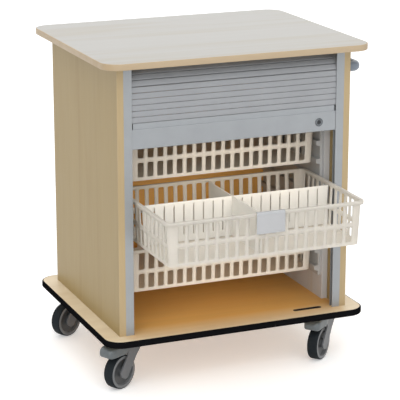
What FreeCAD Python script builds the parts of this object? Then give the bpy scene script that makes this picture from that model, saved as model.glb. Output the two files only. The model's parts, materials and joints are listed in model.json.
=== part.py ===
"""Mobile storage cart with a roller shutter and three pull-out baskets, as an assembly of separate pieces.

Units are millimetres. Everything is modelled in the cabinet frame: X to the right, Y to the back, Z up,
with the origin on the floor under the middle of the cabinet. The front faces -Y. `save` moves each piece,
so that the written origin lies under the middle of the whole part, with its pulled-out basket and the
brake pedal that stands out at the left.
"""
import FreeCAD, Part
import math
import os

from FreeCAD import Vector

# ---- cabinet ---------------------------------------------------------------------------------------------
OVERHANG = 48.0               # of the worktop and the base board beyond the body, all round
PLAN_RADIUS = 50.0            # corner radius of the worktop and the base board
TOP_HEIGHT = 942.0            # floor to worktop surface
WORKTOP_THICKNESS = 18.0
WORKTOP_BAND = 2.0            # thickness of the maple edge band round the worktop
BASE_THICKNESS = 19.0
BUMPER_THICKNESS = 4.0        # black bumper edge round the base board
SIDE_THICKNESS = 19.0
BACK_THICKNESS = 12.0
INNER_BACK_THICKNESS = 8.0
RAIL_DEPTH = 60.0             # cross rails under the worktop
RAIL_THICKNESS = 12.0
RAIL_GAP = 3.8                # cross rail to the top run of the shutter track

# ---- castors ---------------------------------------------------------------------------------------------
WHEEL_DIAMETER = 100.0
WHEEL_WIDTH = 32.0
CASTOR_HEADROOM = 40.0        # top of the wheel to the underside of the base board
CASTOR_TRAIL = 44.0           # swivel axis to wheel axle
CASTOR_INSET_X = 92.0         # swivel axis to the side of the base board
CASTOR_INSET_Y = 90.0         # swivel axis to the front or back of the base board
AXLE_RADIUS = 5.0
RUNNING_FIT = 0.06            # radial clearance of a shaft in its bore
STEM_RADIUS = 6.0             # stem in the base board, which is also the pin the fork swivels on
STEM_COVER = 4.0              # base board left over the end of a stem
STEM_END = 3.0                # below the fork's head
HEAD_REACH = 27.0             # swivel axis to the front and back of the fork's head
HEAD_HEIGHT = 24.0
HEAD_CHAMFER = 8.0
ARM_WIDTH = 34.0
ARM_THICKNESS = 5.0
ARM_SHOULDER = 58.0           # axle to the point where the back edge of an arm leaves the head, along the arm
ARM_HIP = 46.0                # and the same at its front edge
ARM_GAP = 2.5                 # fork arm to wheel face
MOVING_GAP = 0.3              # between bodies that move past each other
PEDAL_PIN_RADIUS = 2.0
PEDAL_EAR_RADIUS = 6.5
PEDAL_PIN_DROP = 2.0          # top of the pedal's ears below the top of the head
PEDAL_CLEARANCE = 2.5         # pedal underside above the tyre
PEDAL_BEYOND = 13.0           # tip of the brake pedal beyond the tyre
PEDAL_CORNER = 9.0            # bevel of the nose's two corners, seen from above
PEDAL_NOSE = 10.0             # length of the nose's rounding
PEDAL_BROW_DROP = 11.0        # upper end of the rounding below the top of the head
PEDAL_NECK = 6.0              # thickness of the web from the barrel to the plate

# Swivel angle of each castor: the direction of its axle, in degrees from -Y towards +X.
CASTORS = {
    "front_left": (-1, -1, 28.0, True),
    "front_right": (1, -1, 40.0, True),
    "rear_left": (-1, 1, 27.0, False),
    "rear_right": (1, 1, 36.0, False),
}

# ---- roller shutter and its track ------------------------------------------------------------------------
POST_WIDTH = 24.0             # visible face of the aluminium post
POST_WALL = 2.5
SLAT_THICKNESS = 9.6
SLAT_PLAY = 0.9               # slat to each wall of the groove
SLAT_PITCH = 16.7
SLAT_GAP = 0.8
SLAT_CHAMFER = 1.2            # on the long edges of the face
SLAT_LEAN = 0.8               # how far an edge leans in, as a share of what the bend closes at the back
SLAT_ENGAGEMENT = 9.0         # slat end inside the groove
BEND_RADIUS = 45.0            # of the middle of the groove
TRACK_FRONT_GAP = 11.8        # inner back panel to the rear run of the track
TRACK_BACK_GAP = 18.8         # rear run of the track to the back panel
REAR_RUN_LENGTH = 215.0       # straight part of the track behind the baskets
SHUTTER_SPARE = 59.0          # shutter left in the bend when it is closed
SHUTTER_DROP = 207.5          # bottom edge of the bar below the top run, as left
BAR_FACE_HEIGHT = 56.0
BAR_TONGUE_HEIGHT = 16.5
BAR_PROUD = 2.2               # bar face in front of the slats
BAR_LIP_DEPTH = 9.0
BAR_LIP_HEIGHT = 3.0
BAR_SIDE_GAP = 0.5
BAR_EDGE = 1.0                # small chamfers of the bar
GLIDE_HEIGHT = 40.0
GLIDE_SIDE_GAP = 2.0
TONGUE_NOTCH = 3.5

# ---- shutter lock ----------------------------------------------------------------------------------------
LOCK_INSET = 53.0             # lock to the edge of the opening
LOCK_COLLAR_RADIUS = 11.5
LOCK_COLLAR_THICKNESS = 1.5
LOCK_BARREL_RADIUS = 6.5
KEYWAY_WIDTH = 1.6
KEYWAY_HEIGHT = 7.0
KEYWAY_DEPTH = 8.0
CAM_THICKNESS = 2.5
CAM_REACH = 10.0              # turned-down cam below the bar
CAM_WIDTH = 12.0
CAM_NOTCH_MARGIN = 2.0        # round the swinging cam in the bar's lip
STRIKE_LENGTH = 88.0
STRIKE_WIDTH = 8.0
STRIKE_THICKNESS = 1.5
STRIKE_SLOT_WIDTH = 4.5
STRIKE_SLOT_MARGIN = 6.0
STRIKE_POCKET_DEPTH = 12.0
STRIKE_SHIFT = 20.0           # middle of the strike to the lock, towards the middle

# ---- runner boards and ledge racks -----------------------------------------------------------------------
RUNNER_SETBACK = 2.0          # front of a runner board behind the rim of a closed basket
RUNNER_THICKNESS = 18.0
RUNNER_TOP_GAP = 23.8         # top of a runner board to the top run of the shutter track
RACK_PLATE = 7.0
RACK_SETBACK = 15.0           # front of a ledge rack behind the rim of a closed basket
RACK_FOOT = 71.0              # base board to the bottom of a ledge rack
RACK_HEAD = 10.0              # top of a ledge rack below the top of its runner board
LEDGE_COUNT = 11
LEDGE_FOOT = 29.5             # bottom of the rack to the top of the lowest ledge
LEDGE_HEAD = 55.2             # top of the highest ledge to the top of the rack
LEDGE_HEIGHT = 17.0
LEDGE_TIP_HEIGHT = 13.0
LEDGE_OVERLAP = 3.5           # ledge tip reaches this far inside the basket's rim

# ---- baskets ---------------------------------------------------------------------------------------------
BASKET_WIDTH = 600.0          # over the rim
BASKET_DEPTH = 400.0
BASKET_HEIGHT = 127.0
BASKET_WALL = 2.5
BASKET_FLANGE = 13.0          # rim beyond the wall
BASKET_LIP = 12.0             # height of the rim's turned-down lip
BASKET_DRAFT = 5.0            # walls lean in by this much at the floor
BASKET_CORNER = 14.0
BASKET_SIDE_GAP = 8.0         # rim to the plate of a ledge rack
BASKET_BACK_GAP = 8.0         # rim of a closed basket to the inner back panel
HOLE_PITCH = 29.4
HOLE_WIDTH = 18.0
HOLE_END_MARGIN = 16.0
HOLE_HEAD = 12.0              # rim to the upper row of holes
HOLE_RIB = 13.0               # between the rows
HOLE_FOOT = 7.0               # lower row to the underside of the floor
UPPER_HOLE_SHARE = 0.55       # of the height left for the two rows
CLOSED_FRONT = 79.0           # rim of a closed basket behind the front of the body
BASKET_LEFT_IN = 98.0         # length of the middle basket that is still inside
DIVIDED_BASKET = "middle_basket"
LEDGE_OF = {"lower_basket": 2, "middle_basket": 5, "top_basket": 8}   # ledges counted from the lowest
DIVIDER_THICKNESS = 2.5
DIVIDER_BELOW_RIM = 9.0
DIVIDER_CLEARANCE = 0.4
DIVIDER_SLOT_WIDTH = 3.6
DIVIDER_SLOT_TOP = 8.0        # below the divider's top edge
DIVIDER_SLOT_FOOT = 19.1      # above the divider's bottom edge
LABEL_WIDTH = 84.0
LABEL_HEIGHT = 53.0
LABEL_THICKNESS = 2.4
LABEL_RIM = 3.0
LABEL_CARD_THICKNESS = 0.8
LABEL_X = 5.0
LABEL_TOP = 6.5               # below the rim
LABEL_GAP = 0.2

# ---- side handle -----------------------------------------------------------------------------------------
HANDLE_INSET = 17.0           # end of the handle to the front or back edge of the side panel
HANDLE_REACH = 48.0           # beyond the side panel
HANDLE_SECTION_X = 25.0
HANDLE_SECTION_Z = 29.0
HANDLE_DROP = 75.0            # middle of the grip below the worktop surface
HANDLE_BEND = 14.0            # radius of the bow's middle line
HANDLE_CHAMFER = 8.0

# ---- places worked out from the sizes, round the baskets -------------------------------------------------
GROOVE = SLAT_THICKNESS + 2 * SLAT_PLAY
TRACK_SPACE = GROOVE + 2 * POST_WALL
INSIDE_X = BASKET_WIDTH / 2 + BASKET_SIDE_GAP + RACK_PLATE + RUNNER_THICKNESS
OPENING_X = INSIDE_X - POST_WIDTH
BODY_WIDTH = 2 * (INSIDE_X + SIDE_THICKNESS)
INNER_BACK_DEPTH = CLOSED_FRONT + BASKET_DEPTH + BASKET_BACK_GAP
BEHIND_BASKETS = INNER_BACK_THICKNESS + TRACK_FRONT_GAP + TRACK_SPACE + TRACK_BACK_GAP + BACK_THICKNESS
BODY_DEPTH = INNER_BACK_DEPTH + BEHIND_BASKETS
FRONT = -BODY_DEPTH / 2
BACK = BODY_DEPTH / 2
PLAN_WIDTH = BODY_WIDTH + 2 * OVERHANG
PLAN_DEPTH = BODY_DEPTH + 2 * OVERHANG
WHEEL_RADIUS = WHEEL_DIAMETER / 2
CASTOR_HEIGHT = WHEEL_DIAMETER + CASTOR_HEADROOM
BASE_TOP = CASTOR_HEIGHT + BASE_THICKNESS
UNDER_TOP = TOP_HEIGHT - WORKTOP_THICKNESS
GROOVE_FRONT = FRONT + POST_WALL
FRONT_RUN_Y = GROOVE_FRONT + GROOVE / 2
GROOVE_BACK = GROOVE_FRONT + GROOVE
POST_BACK = GROOVE_BACK + POST_WALL
SLAT_FACE_Y = FRONT_RUN_Y - SLAT_THICKNESS / 2
SLAT_HALF_LENGTH = OPENING_X + SLAT_ENGAGEMENT
SLAT_BEND_ROOM = SLAT_LEAN * SLAT_THICKNESS * SLAT_PITCH / (2 * BEND_RADIUS)
TRACK_TOP = UNDER_TOP - RAIL_THICKNESS - RAIL_GAP
TOP_RUN_Z = TRACK_TOP - TRACK_SPACE / 2
BEND_HEIGHT = TOP_RUN_Z - BEND_RADIUS         # where the front run starts to bend backwards
REAR_RUN_Y = BACK - BACK_THICKNESS - TRACK_BACK_GAP - TRACK_SPACE / 2
REAR_RUN_BOTTOM = BEND_HEIGHT - REAR_RUN_LENGTH
SHUTTER_LENGTH = BEND_HEIGHT - BASE_TOP + SHUTTER_SPARE
BAR_BOTTOM = TOP_RUN_Z - SHUTTER_DROP
BAR_TOP = BAR_BOTTOM + BAR_FACE_HEIGHT + BAR_TONGUE_HEIGHT
LOCK_X = OPENING_X - LOCK_INSET
LOCK_DROP = BAR_FACE_HEIGHT / 2 - BAR_EDGE    # lock above the bottom of the bar
CAM_LENGTH = LOCK_DROP + CAM_REACH
STRIKE_X = LOCK_X - STRIKE_SHIFT
RIM_ABOVE_LEDGE = BASKET_LIP + MOVING_GAP
CLOSED_FRONT_Y = FRONT + CLOSED_FRONT
PULL_OUT = BASKET_DEPTH - BASKET_LEFT_IN
PULLED_FRONT_Y = CLOSED_FRONT_Y - PULL_OUT
INNER_BACK_Y = FRONT + INNER_BACK_DEPTH
RUNNER_FRONT_Y = CLOSED_FRONT_Y + RUNNER_SETBACK
RUNNER_TOP = TRACK_TOP - TRACK_SPACE - RUNNER_TOP_GAP
RACK_FRONT_Y = CLOSED_FRONT_Y + RACK_SETBACK
RACK_BOTTOM = BASE_TOP + RACK_FOOT
RACK_TOP = RUNNER_TOP - RACK_HEAD
LEDGE_PITCH = (RACK_TOP - RACK_BOTTOM - LEDGE_FOOT - LEDGE_HEAD) / (LEDGE_COUNT - 1)
HOLE_ROOM = BASKET_HEIGHT - HOLE_HEAD - HOLE_RIB - HOLE_FOOT
HANDLE_LENGTH = BODY_DEPTH - 2 * HANDLE_INSET
HANDLE_HEIGHT = TOP_HEIGHT - HANDLE_DROP
HEAD_TOP = CASTOR_HEIGHT - MOVING_GAP
HEAD_BOTTOM = HEAD_TOP - HEAD_HEIGHT
PEDAL_PIN_X = HEAD_REACH + PEDAL_EAR_RADIUS
PEDAL_PIN_Z = HEAD_TOP - PEDAL_EAR_RADIUS - PEDAL_PIN_DROP
PEDAL_REACH = CASTOR_TRAIL + WHEEL_RADIUS + PEDAL_BEYOND
PEDAL_HALF_WIDTH = WHEEL_WIDTH / 2 + ARM_GAP + ARM_THICKNESS

# ---- written origin, under the middle of the whole part --------------------------------------------------
PART_FRONT_Y = PULLED_FRONT_Y - LABEL_GAP - LABEL_THICKNESS
PART_BACK_Y = BACK + OVERHANG
PART_RIGHT_X = PLAN_WIDTH / 2
LEFT_PEDAL_TURN = math.radians(CASTORS["front_left"][2])
LEFT_PEDAL_TIP = (PEDAL_REACH * math.cos(LEFT_PEDAL_TURN)
                  + (PEDAL_HALF_WIDTH - PEDAL_CORNER) * math.sin(LEFT_PEDAL_TURN))
PART_LEFT_X = -(PLAN_WIDTH / 2 - CASTOR_INSET_X) - LEFT_PEDAL_TIP
FRAME_SHIFT = Vector(-(PART_LEFT_X + PART_RIGHT_X) / 2, -(PART_FRONT_Y + PART_BACK_Y) / 2, 0)


def save(name, shape):
    """Write one node as parts/NAME.step, moved to the written origin."""
    shape = shape.copy()
    shape.translate(FRAME_SHIFT)
    shape.exportStep("parts/" + name + ".step")


def box(x0, x1, y0, y1, z0, z1):
    return Part.makeBox(x1 - x0, y1 - y0, z1 - z0, Vector(x0, y0, z0))


def cylinder(radius, start, end):
    """Round bar from one point to another."""
    axis = Vector(*end) - Vector(*start)
    return Part.makeCylinder(radius, axis.Length, Vector(*start), axis)


def join(shapes):
    """Fuse a list of solids into one and merge faces that continue each other."""
    return shapes[0].fuse(shapes[1:]).removeSplitter()


def mirror_x(shape):
    return shape.mirror(Vector(0, 0, 0), Vector(1, 0, 0))


def arc(center, radius, start_deg, end_deg, plane):
    """Arc edge through its middle; plane turns (a, b) into a Vector."""
    points = []
    for share in (0.0, 0.5, 1.0):
        angle = math.radians(start_deg + share * (end_deg - start_deg))
        points.append(plane(center[0] + radius * math.cos(angle), center[1] + radius * math.sin(angle)))
    return Part.Arc(*points).toShape()


def line(start, end):
    return Part.LineSegment(start, end).toShape()


def polygon(points, plane):
    corners = [plane(*point) for point in points]
    return Part.Face(Part.makePolygon(corners + corners[:1]))


def rounded_rectangle(width, depth, radius, z, center_y=0.0):
    """Closed wire of a rectangle with round corners, at height z."""
    half_x = width / 2 - radius
    half_y = depth / 2 - radius

    def at(x, y):
        return Vector(x, center_y + y, z)

    corners = ((half_x, half_y), (-half_x, half_y), (-half_x, -half_y), (half_x, -half_y))
    edges = []
    for index, corner in enumerate(corners):
        start = 90.0 * index
        edges.append(arc(corner, radius, start, start + 90.0, at))
    wire_edges = []
    for index, edge in enumerate(edges):
        following = edges[(index + 1) % 4]
        wire_edges.append(edge)
        wire_edges.append(line(edge.Vertexes[-1].Point, following.Vertexes[0].Point))
    return Part.Wire(wire_edges)


def rounded_plate(width, depth, radius, z0, z1):
    face = Part.Face(rounded_rectangle(width, depth, radius, z0))
    return face.extrude(Vector(0, 0, z1 - z0))


# ---- panels ----------------------------------------------------------------------------------------------
def worktop():
    inset = 2 * WORKTOP_BAND
    radius = PLAN_RADIUS - WORKTOP_BAND
    return rounded_plate(PLAN_WIDTH - inset, PLAN_DEPTH - inset, radius, UNDER_TOP, TOP_HEIGHT)


def worktop_edge_band():
    outer = rounded_plate(PLAN_WIDTH, PLAN_DEPTH, PLAN_RADIUS, UNDER_TOP, TOP_HEIGHT)
    return outer.cut(worktop())


def base_core():
    inset = 2 * BUMPER_THICKNESS
    radius = PLAN_RADIUS - BUMPER_THICKNESS
    return rounded_plate(PLAN_WIDTH - inset, PLAN_DEPTH - inset, radius, CASTOR_HEIGHT, BASE_TOP)


def strike_block(reach, width, z0, z1):
    """Upright block round the strike's middle, in the plane that the lock cam swings in."""
    y = cam_middle_y()
    return box(STRIKE_X - reach, STRIKE_X + reach, y - width / 2, y + width / 2, z0, z1)


def base_board():
    """Base board with the seat and pocket of the lock strike and the holes of the castor stems."""
    seat = strike_block(STRIKE_LENGTH / 2, STRIKE_WIDTH, BASE_TOP - STRIKE_THICKNESS, BASE_TOP)
    reach = STRIKE_LENGTH / 2 - STRIKE_SLOT_MARGIN
    pocket = strike_block(reach, STRIKE_SLOT_WIDTH, BASE_TOP - STRIKE_POCKET_DEPTH, BASE_TOP)
    stems = [castor_stem(name) for name in CASTORS]
    return base_core().cut([seat, pocket] + stems)


def bumper_edge():
    outer = rounded_plate(PLAN_WIDTH, PLAN_DEPTH, PLAN_RADIUS, CASTOR_HEIGHT, BASE_TOP)
    return outer.cut(base_core())


def lock_strike():
    """Black strike plate, flush in the base board, with the slot that the lock cam drops into."""
    plate = strike_block(STRIKE_LENGTH / 2, STRIKE_WIDTH, BASE_TOP - STRIKE_THICKNESS, BASE_TOP)
    reach = STRIKE_LENGTH / 2 - STRIKE_SLOT_MARGIN
    return plate.cut(strike_block(reach, STRIKE_SLOT_WIDTH, BASE_TOP - STRIKE_THICKNESS, BASE_TOP))


def side_panel():
    """Right side panel, standing on the base board."""
    return box(INSIDE_X, BODY_WIDTH / 2, FRONT, BACK, BASE_TOP, UNDER_TOP)


def back_panel():
    return box(-INSIDE_X, INSIDE_X, BACK - BACK_THICKNESS, BACK, BASE_TOP, UNDER_TOP)


def inner_back_panel():
    return box(-INSIDE_X, INSIDE_X, INNER_BACK_Y, INNER_BACK_Y + INNER_BACK_THICKNESS, BASE_TOP, RUNNER_TOP)


def cross_rail(y0):
    return box(-INSIDE_X, INSIDE_X, y0, y0 + RAIL_DEPTH, UNDER_TOP - RAIL_THICKNESS, UNDER_TOP)


# ---- posts, track and shutter ----------------------------------------------------------------------------
def in_yz(y, z):
    return Vector(0, y, z)


def post():
    """Right aluminium post: a C section open to the inside, whose back wall stops where the groove bends."""
    x0, x1 = OPENING_X, INSIDE_X
    section = [(x0, FRONT), (x1, FRONT), (x1, POST_BACK), (x0, POST_BACK), (x0, GROOVE_BACK),
               (x1 - POST_WALL, GROOVE_BACK), (x1 - POST_WALL, GROOVE_FRONT), (x0, GROOVE_FRONT)]
    face = polygon(section, lambda x, y: Vector(x, y, BASE_TOP))
    profile = face.extrude(Vector(0, 0, UNDER_TOP - BASE_TOP))
    bend_room = box(x0, x1 - POST_WALL, GROOVE_FRONT, POST_BACK, BEND_HEIGHT, UNDER_TOP)
    return profile.cut(bend_room)


def run_edges(offset, bottom):
    """Edges of the shutter's run, moved outwards by offset: bend, top run, bend and rear run."""
    front_center = (FRONT_RUN_Y + BEND_RADIUS, BEND_HEIGHT)
    rear_center = (REAR_RUN_Y - BEND_RADIUS, BEND_HEIGHT)
    radius = BEND_RADIUS + offset
    top = BEND_HEIGHT + radius
    return [
        arc(front_center, radius, 180.0, 90.0, in_yz),
        line(in_yz(front_center[0], top), in_yz(rear_center[0], top)),
        arc(rear_center, radius, 90.0, 0.0, in_yz),
        line(in_yz(rear_center[0] + radius, BEND_HEIGHT), in_yz(rear_center[0] + radius, bottom)),
    ]


def run_band(inner, outer, x0, x1):
    """Solid strip that follows the run between two offsets, from x0 to x1."""
    near = run_edges(inner, REAR_RUN_BOTTOM)
    far = run_edges(outer, REAR_RUN_BOTTOM)
    foot = line(near[-1].Vertexes[-1].Point, far[-1].Vertexes[-1].Point)
    start = line(far[0].Vertexes[0].Point, near[0].Vertexes[0].Point)
    wire = Part.Wire(Part.__sortEdges__(near + [foot] + far + [start]))
    band = Part.Face(wire).extrude(Vector(x1 - x0, 0, 0))
    band.translate(Vector(x0, 0, 0))
    return band


def shutter_track():
    """Right curved track: two rails on a web, from the post over the baskets and down behind them."""
    half = GROOVE / 2
    inner_rail = run_band(-half - POST_WALL, -half, OPENING_X, INSIDE_X)
    outer_rail = run_band(half, half + POST_WALL, OPENING_X, INSIDE_X)
    web = run_band(-half, half, INSIDE_X - POST_WALL, INSIDE_X)
    return join([inner_rail, outer_rail, web]).cut(post()).removeSplitter()


def slat_solid():
    """One hollow-look slat lying along X, its face towards +Z of its own frame and its pitch along Y."""
    half = (SLAT_PITCH - SLAT_GAP) / 2
    top = SLAT_THICKNESS / 2
    edge = top - SLAT_CHAMFER
    section = [(-half + SLAT_BEND_ROOM, -top), (-half, edge), (-half + SLAT_CHAMFER, top),
               (half - SLAT_CHAMFER, top), (half, edge), (half - SLAT_BEND_ROOM, -top)]
    face = polygon(section, lambda along, out: Vector(-SLAT_HALF_LENGTH, along, out))
    return face.extrude(Vector(2 * SLAT_HALF_LENGTH, 0, 0))


def run_place(distance):
    """Point on the run at a distance above the bar's top edge, and how far the run has turned, in degrees."""
    straight = BEND_HEIGHT - BAR_TOP
    quarter = math.pi / 2 * BEND_RADIUS
    flat = (REAR_RUN_Y - BEND_RADIUS) - (FRONT_RUN_Y + BEND_RADIUS)
    if distance <= straight:
        return FRONT_RUN_Y, BAR_TOP + distance, 0.0
    distance -= straight
    if distance <= quarter:
        turn = distance / BEND_RADIUS
        return (FRONT_RUN_Y + BEND_RADIUS * (1 - math.cos(turn)), BEND_HEIGHT + BEND_RADIUS * math.sin(turn),
                math.degrees(turn))
    distance -= quarter
    if distance <= flat:
        return FRONT_RUN_Y + BEND_RADIUS + distance, TOP_RUN_Z, 90.0
    distance -= flat
    if distance <= quarter:
        turn = distance / BEND_RADIUS
        return (REAR_RUN_Y - BEND_RADIUS + BEND_RADIUS * math.sin(turn),
                BEND_HEIGHT + BEND_RADIUS * math.cos(turn), 90.0 + math.degrees(turn))
    return REAR_RUN_Y, BEND_HEIGHT - (distance - quarter), 180.0


def slats(first, last):
    """Slats number first to last - 1, counted from the bar, each turned with the run."""
    base = slat_solid()
    placed = []
    for index in range(first, last):
        y, z, turn = run_place((index + 0.5) * SLAT_PITCH)
        slat = base.copy()
        # The slat's frame: pitch along Y, face along Z. Stood up in the front run its face looks to -Y.
        slat.rotate(Vector(0, 0, 0), Vector(1, 0, 0), 90.0 - turn)
        slat.translate(Vector(0, y, z))
        placed.append(slat)
    return placed


def slat_count():
    return int((SHUTTER_LENGTH - (BAR_TOP - BAR_BOTTOM)) / SLAT_PITCH)


def front_slat_count():
    """Slats in the front run and the first half of the bend, which show between the posts."""
    return int((BEND_HEIGHT - BAR_TOP + math.pi / 4 * BEND_RADIUS) / SLAT_PITCH) + 1


def bottom_bar():
    """Aluminium end bar with a tongue under the first slat, a proud face and a turned-in bottom lip.

    The lock's collar and bore are part of it, and the lip has a notch for the lock cam.
    """
    half = OPENING_X - BAR_SIDE_GAP
    face_y = bar_face_y()
    back_y = bar_back_y()
    shoulder = BAR_BOTTOM + BAR_FACE_HEIGHT
    tongue_top = BAR_TOP - SLAT_GAP / 2
    section = [(face_y, BAR_BOTTOM + BAR_EDGE), (face_y + BAR_EDGE, BAR_BOTTOM),
               (back_y + BAR_LIP_DEPTH, BAR_BOTTOM),
               (back_y + BAR_LIP_DEPTH, BAR_BOTTOM + BAR_LIP_HEIGHT), (back_y, BAR_BOTTOM + BAR_LIP_HEIGHT),
               (back_y, tongue_top), (SLAT_FACE_Y + SLAT_CHAMFER, tongue_top),
               (SLAT_FACE_Y, tongue_top - SLAT_CHAMFER),
               (SLAT_FACE_Y, shoulder), (face_y + BAR_EDGE, shoulder), (face_y, shoulder - BAR_EDGE)]
    face = polygon(section, lambda y, z: Vector(-half, y, z))
    bar = face.extrude(Vector(2 * half, 0, 0))
    collar_front = (LOCK_X, face_y - LOCK_COLLAR_THICKNESS, lock_z())
    collar = cylinder(LOCK_COLLAR_RADIUS, collar_front, (LOCK_X, face_y, lock_z()))
    bore = cylinder(LOCK_BARREL_RADIUS + RUNNING_FIT, collar_front, (LOCK_X, back_y, lock_z()))
    swing = math.sqrt(CAM_LENGTH ** 2 - (LOCK_DROP - BAR_LIP_HEIGHT) ** 2)
    notch = box(LOCK_X - swing - CAM_NOTCH_MARGIN, LOCK_X + CAM_WIDTH / 2 + CAM_NOTCH_MARGIN,
                back_y, back_y + BAR_LIP_DEPTH, BAR_BOTTOM, BAR_BOTTOM + BAR_LIP_HEIGHT)
    cuts = [bore, notch]
    for side in (-1, 1):
        ends = sorted((side * (half - TONGUE_NOTCH), side * half))
        cuts.append(box(ends[0], ends[1], face_y, back_y, shoulder, tongue_top))
    return join([bar, collar]).cut(cuts)


def bar_glides():
    """Plastic glides on the ends of the bar, which run in the grooves of the posts."""
    glides = []
    half = OPENING_X - BAR_SIDE_GAP
    foot = BAR_BOTTOM + BAR_EDGE
    for side in (-1, 1):
        ends = sorted((side * half, side * (INSIDE_X - POST_WALL - GLIDE_SIDE_GAP)))
        glides.append(box(ends[0], ends[1], SLAT_FACE_Y, bar_back_y(), foot, foot + GLIDE_HEIGHT))
    return glides


# ---- shutter lock ----------------------------------------------------------------------------------------
def lock_z():
    return BAR_BOTTOM + LOCK_DROP


def bar_face_y():
    return SLAT_FACE_Y - BAR_PROUD


def bar_back_y():
    return SLAT_FACE_Y + SLAT_THICKNESS


def cam_middle_y():
    return bar_back_y() + MOVING_GAP + CAM_THICKNESS / 2


def lock_barrel():
    """Lock barrel with its keyway, and the cam behind the bar.

    The cam lies along the bar when unlocked. Turned down it reaches below the bar, into the strike.
    """
    front = bar_face_y() - LOCK_COLLAR_THICKNESS
    start = bar_back_y() + MOVING_GAP
    end = start + CAM_THICKNESS
    barrel = cylinder(LOCK_BARREL_RADIUS, (LOCK_X, front, lock_z()), (LOCK_X, start, lock_z()))
    half = CAM_WIDTH / 2
    blade = box(LOCK_X - CAM_LENGTH, LOCK_X + half, start, end, lock_z() - half, lock_z() + half)
    keyway = box(LOCK_X - KEYWAY_WIDTH / 2, LOCK_X + KEYWAY_WIDTH / 2, front, front + KEYWAY_DEPTH,
                 lock_z() - KEYWAY_HEIGHT / 2, lock_z() + KEYWAY_HEIGHT / 2)
    return join([barrel, blade]).cut(keyway)


# ---- runner boards, racks --------------------------------------------------------------------------------
def runner_board():
    """Right runner board, between the base board and the top run of the shutter."""
    inner = INSIDE_X - RUNNER_THICKNESS
    return box(inner, INSIDE_X, RUNNER_FRONT_Y, INNER_BACK_Y, BASE_TOP, RUNNER_TOP)


def ledge_top(index):
    return RACK_BOTTOM + LEDGE_FOOT + index * LEDGE_PITCH


def ledge_rack():
    """Right rack: a plate on the runner board with moulded ledges that carry the basket rims."""
    outer = INSIDE_X - RUNNER_THICKNESS
    inner = outer - RACK_PLATE
    tip = BASKET_WIDTH / 2 - LEDGE_OVERLAP
    y0, y1 = RACK_FRONT_Y, INNER_BACK_Y
    pieces = [box(inner, outer, y0, y1, RACK_BOTTOM, RACK_TOP)]
    for index in range(LEDGE_COUNT):
        top = ledge_top(index)
        section = [(inner, top), (tip, top), (tip, top - LEDGE_TIP_HEIGHT), (inner, top - LEDGE_HEIGHT)]
        face = polygon(section, lambda x, z: Vector(x, y0, z))
        pieces.append(face.extrude(Vector(0, y1 - y0, 0)))
    return join(pieces)


# ---- baskets ---------------------------------------------------------------------------------------------
def basket_bottom(name):
    return ledge_top(LEDGE_OF[name]) + RIM_ABOVE_LEDGE - BASKET_HEIGHT


def hole_places(length):
    """Middles of the upright holes along a wall of the given length."""
    count = int((length - 2 * HOLE_END_MARGIN - HOLE_WIDTH) / HOLE_PITCH) + 1
    first = -(count - 1) * HOLE_PITCH / 2
    return [first + index * HOLE_PITCH for index in range(count)]


def tub(inset, z0, z1, bottom, center_y):
    """Tapered block of the basket's wall, moved inwards by inset, between two heights, with round corners."""
    halves = []
    for z in (z0, z1):
        shrink = BASKET_FLANGE + inset + BASKET_DRAFT * (bottom + BASKET_HEIGHT - z) / BASKET_HEIGHT
        halves.append((BASKET_WIDTH / 2 - shrink, BASKET_DEPTH / 2 - shrink))
    (low_x, low_y), (high_x, high_y) = halves
    block = Part.makeWedge(-low_x, 0, -low_y, -high_y, -high_x, low_x, z1 - z0, low_y, high_y, high_x)
    block.rotate(Vector(0, 0, 0), Vector(1, 0, 0), 90.0)
    block.translate(Vector(0, center_y, z0))
    upright = [edge for edge in block.Edges if abs(edge.Vertexes[0].Z - edge.Vertexes[-1].Z) > (z1 - z0) / 2]
    return block.makeFillet(BASKET_CORNER - inset, upright)


def hole_rows(top):
    """Lower and upper height of the holes of each row, in a basket whose rim is at top."""
    upper = HOLE_ROOM * UPPER_HOLE_SHARE
    upper_low = top - HOLE_HEAD - upper
    lower_top = upper_low - HOLE_RIB
    return ((upper_low, top - HOLE_HEAD), (top - BASKET_HEIGHT + HOLE_FOOT, lower_top))


def basket(name, front_y):
    """Moulded basket: tapered perforated walls, closed floor, and a rim with a turned-down lip."""
    bottom = basket_bottom(name)
    top = bottom + BASKET_HEIGHT
    center_y = front_y + BASKET_DEPTH / 2
    shell = tub(0.0, bottom, top, bottom, center_y)
    rim_wire = rounded_rectangle(BASKET_WIDTH, BASKET_DEPTH, BASKET_CORNER + BASKET_FLANGE, top, center_y)
    rim = Part.Face(rim_wire).extrude(Vector(0, 0, -BASKET_LIP))
    under_wire = rounded_rectangle(BASKET_WIDTH - 2 * BASKET_WALL, BASKET_DEPTH - 2 * BASKET_WALL,
                                   BASKET_CORNER + BASKET_FLANGE - BASKET_WALL, top - BASKET_WALL, center_y)
    under = Part.Face(under_wire).extrude(Vector(0, 0, -BASKET_LIP))
    body = rim.cut(under).fuse(shell)
    hollow = tub(BASKET_WALL, bottom + BASKET_WALL, top, bottom, center_y)
    holes = []
    reach_x = BASKET_WIDTH / 2 - BASKET_FLANGE / 2
    reach_y = BASKET_DEPTH / 2 - BASKET_FLANGE / 2
    half = HOLE_WIDTH / 2
    for z0, z1 in hole_rows(top):
        for x in hole_places(BASKET_WIDTH - 2 * BASKET_FLANGE):
            holes.append(box(x - half, x + half, center_y - reach_y, center_y + reach_y, z0, z1))
        for y in hole_places(BASKET_DEPTH - 2 * BASKET_FLANGE):
            middle = center_y + y
            holes.append(box(-reach_x, reach_x, middle - half, middle + half, z0, z1))
    return body.cut(hollow).cut(holes).removeSplitter()


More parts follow.
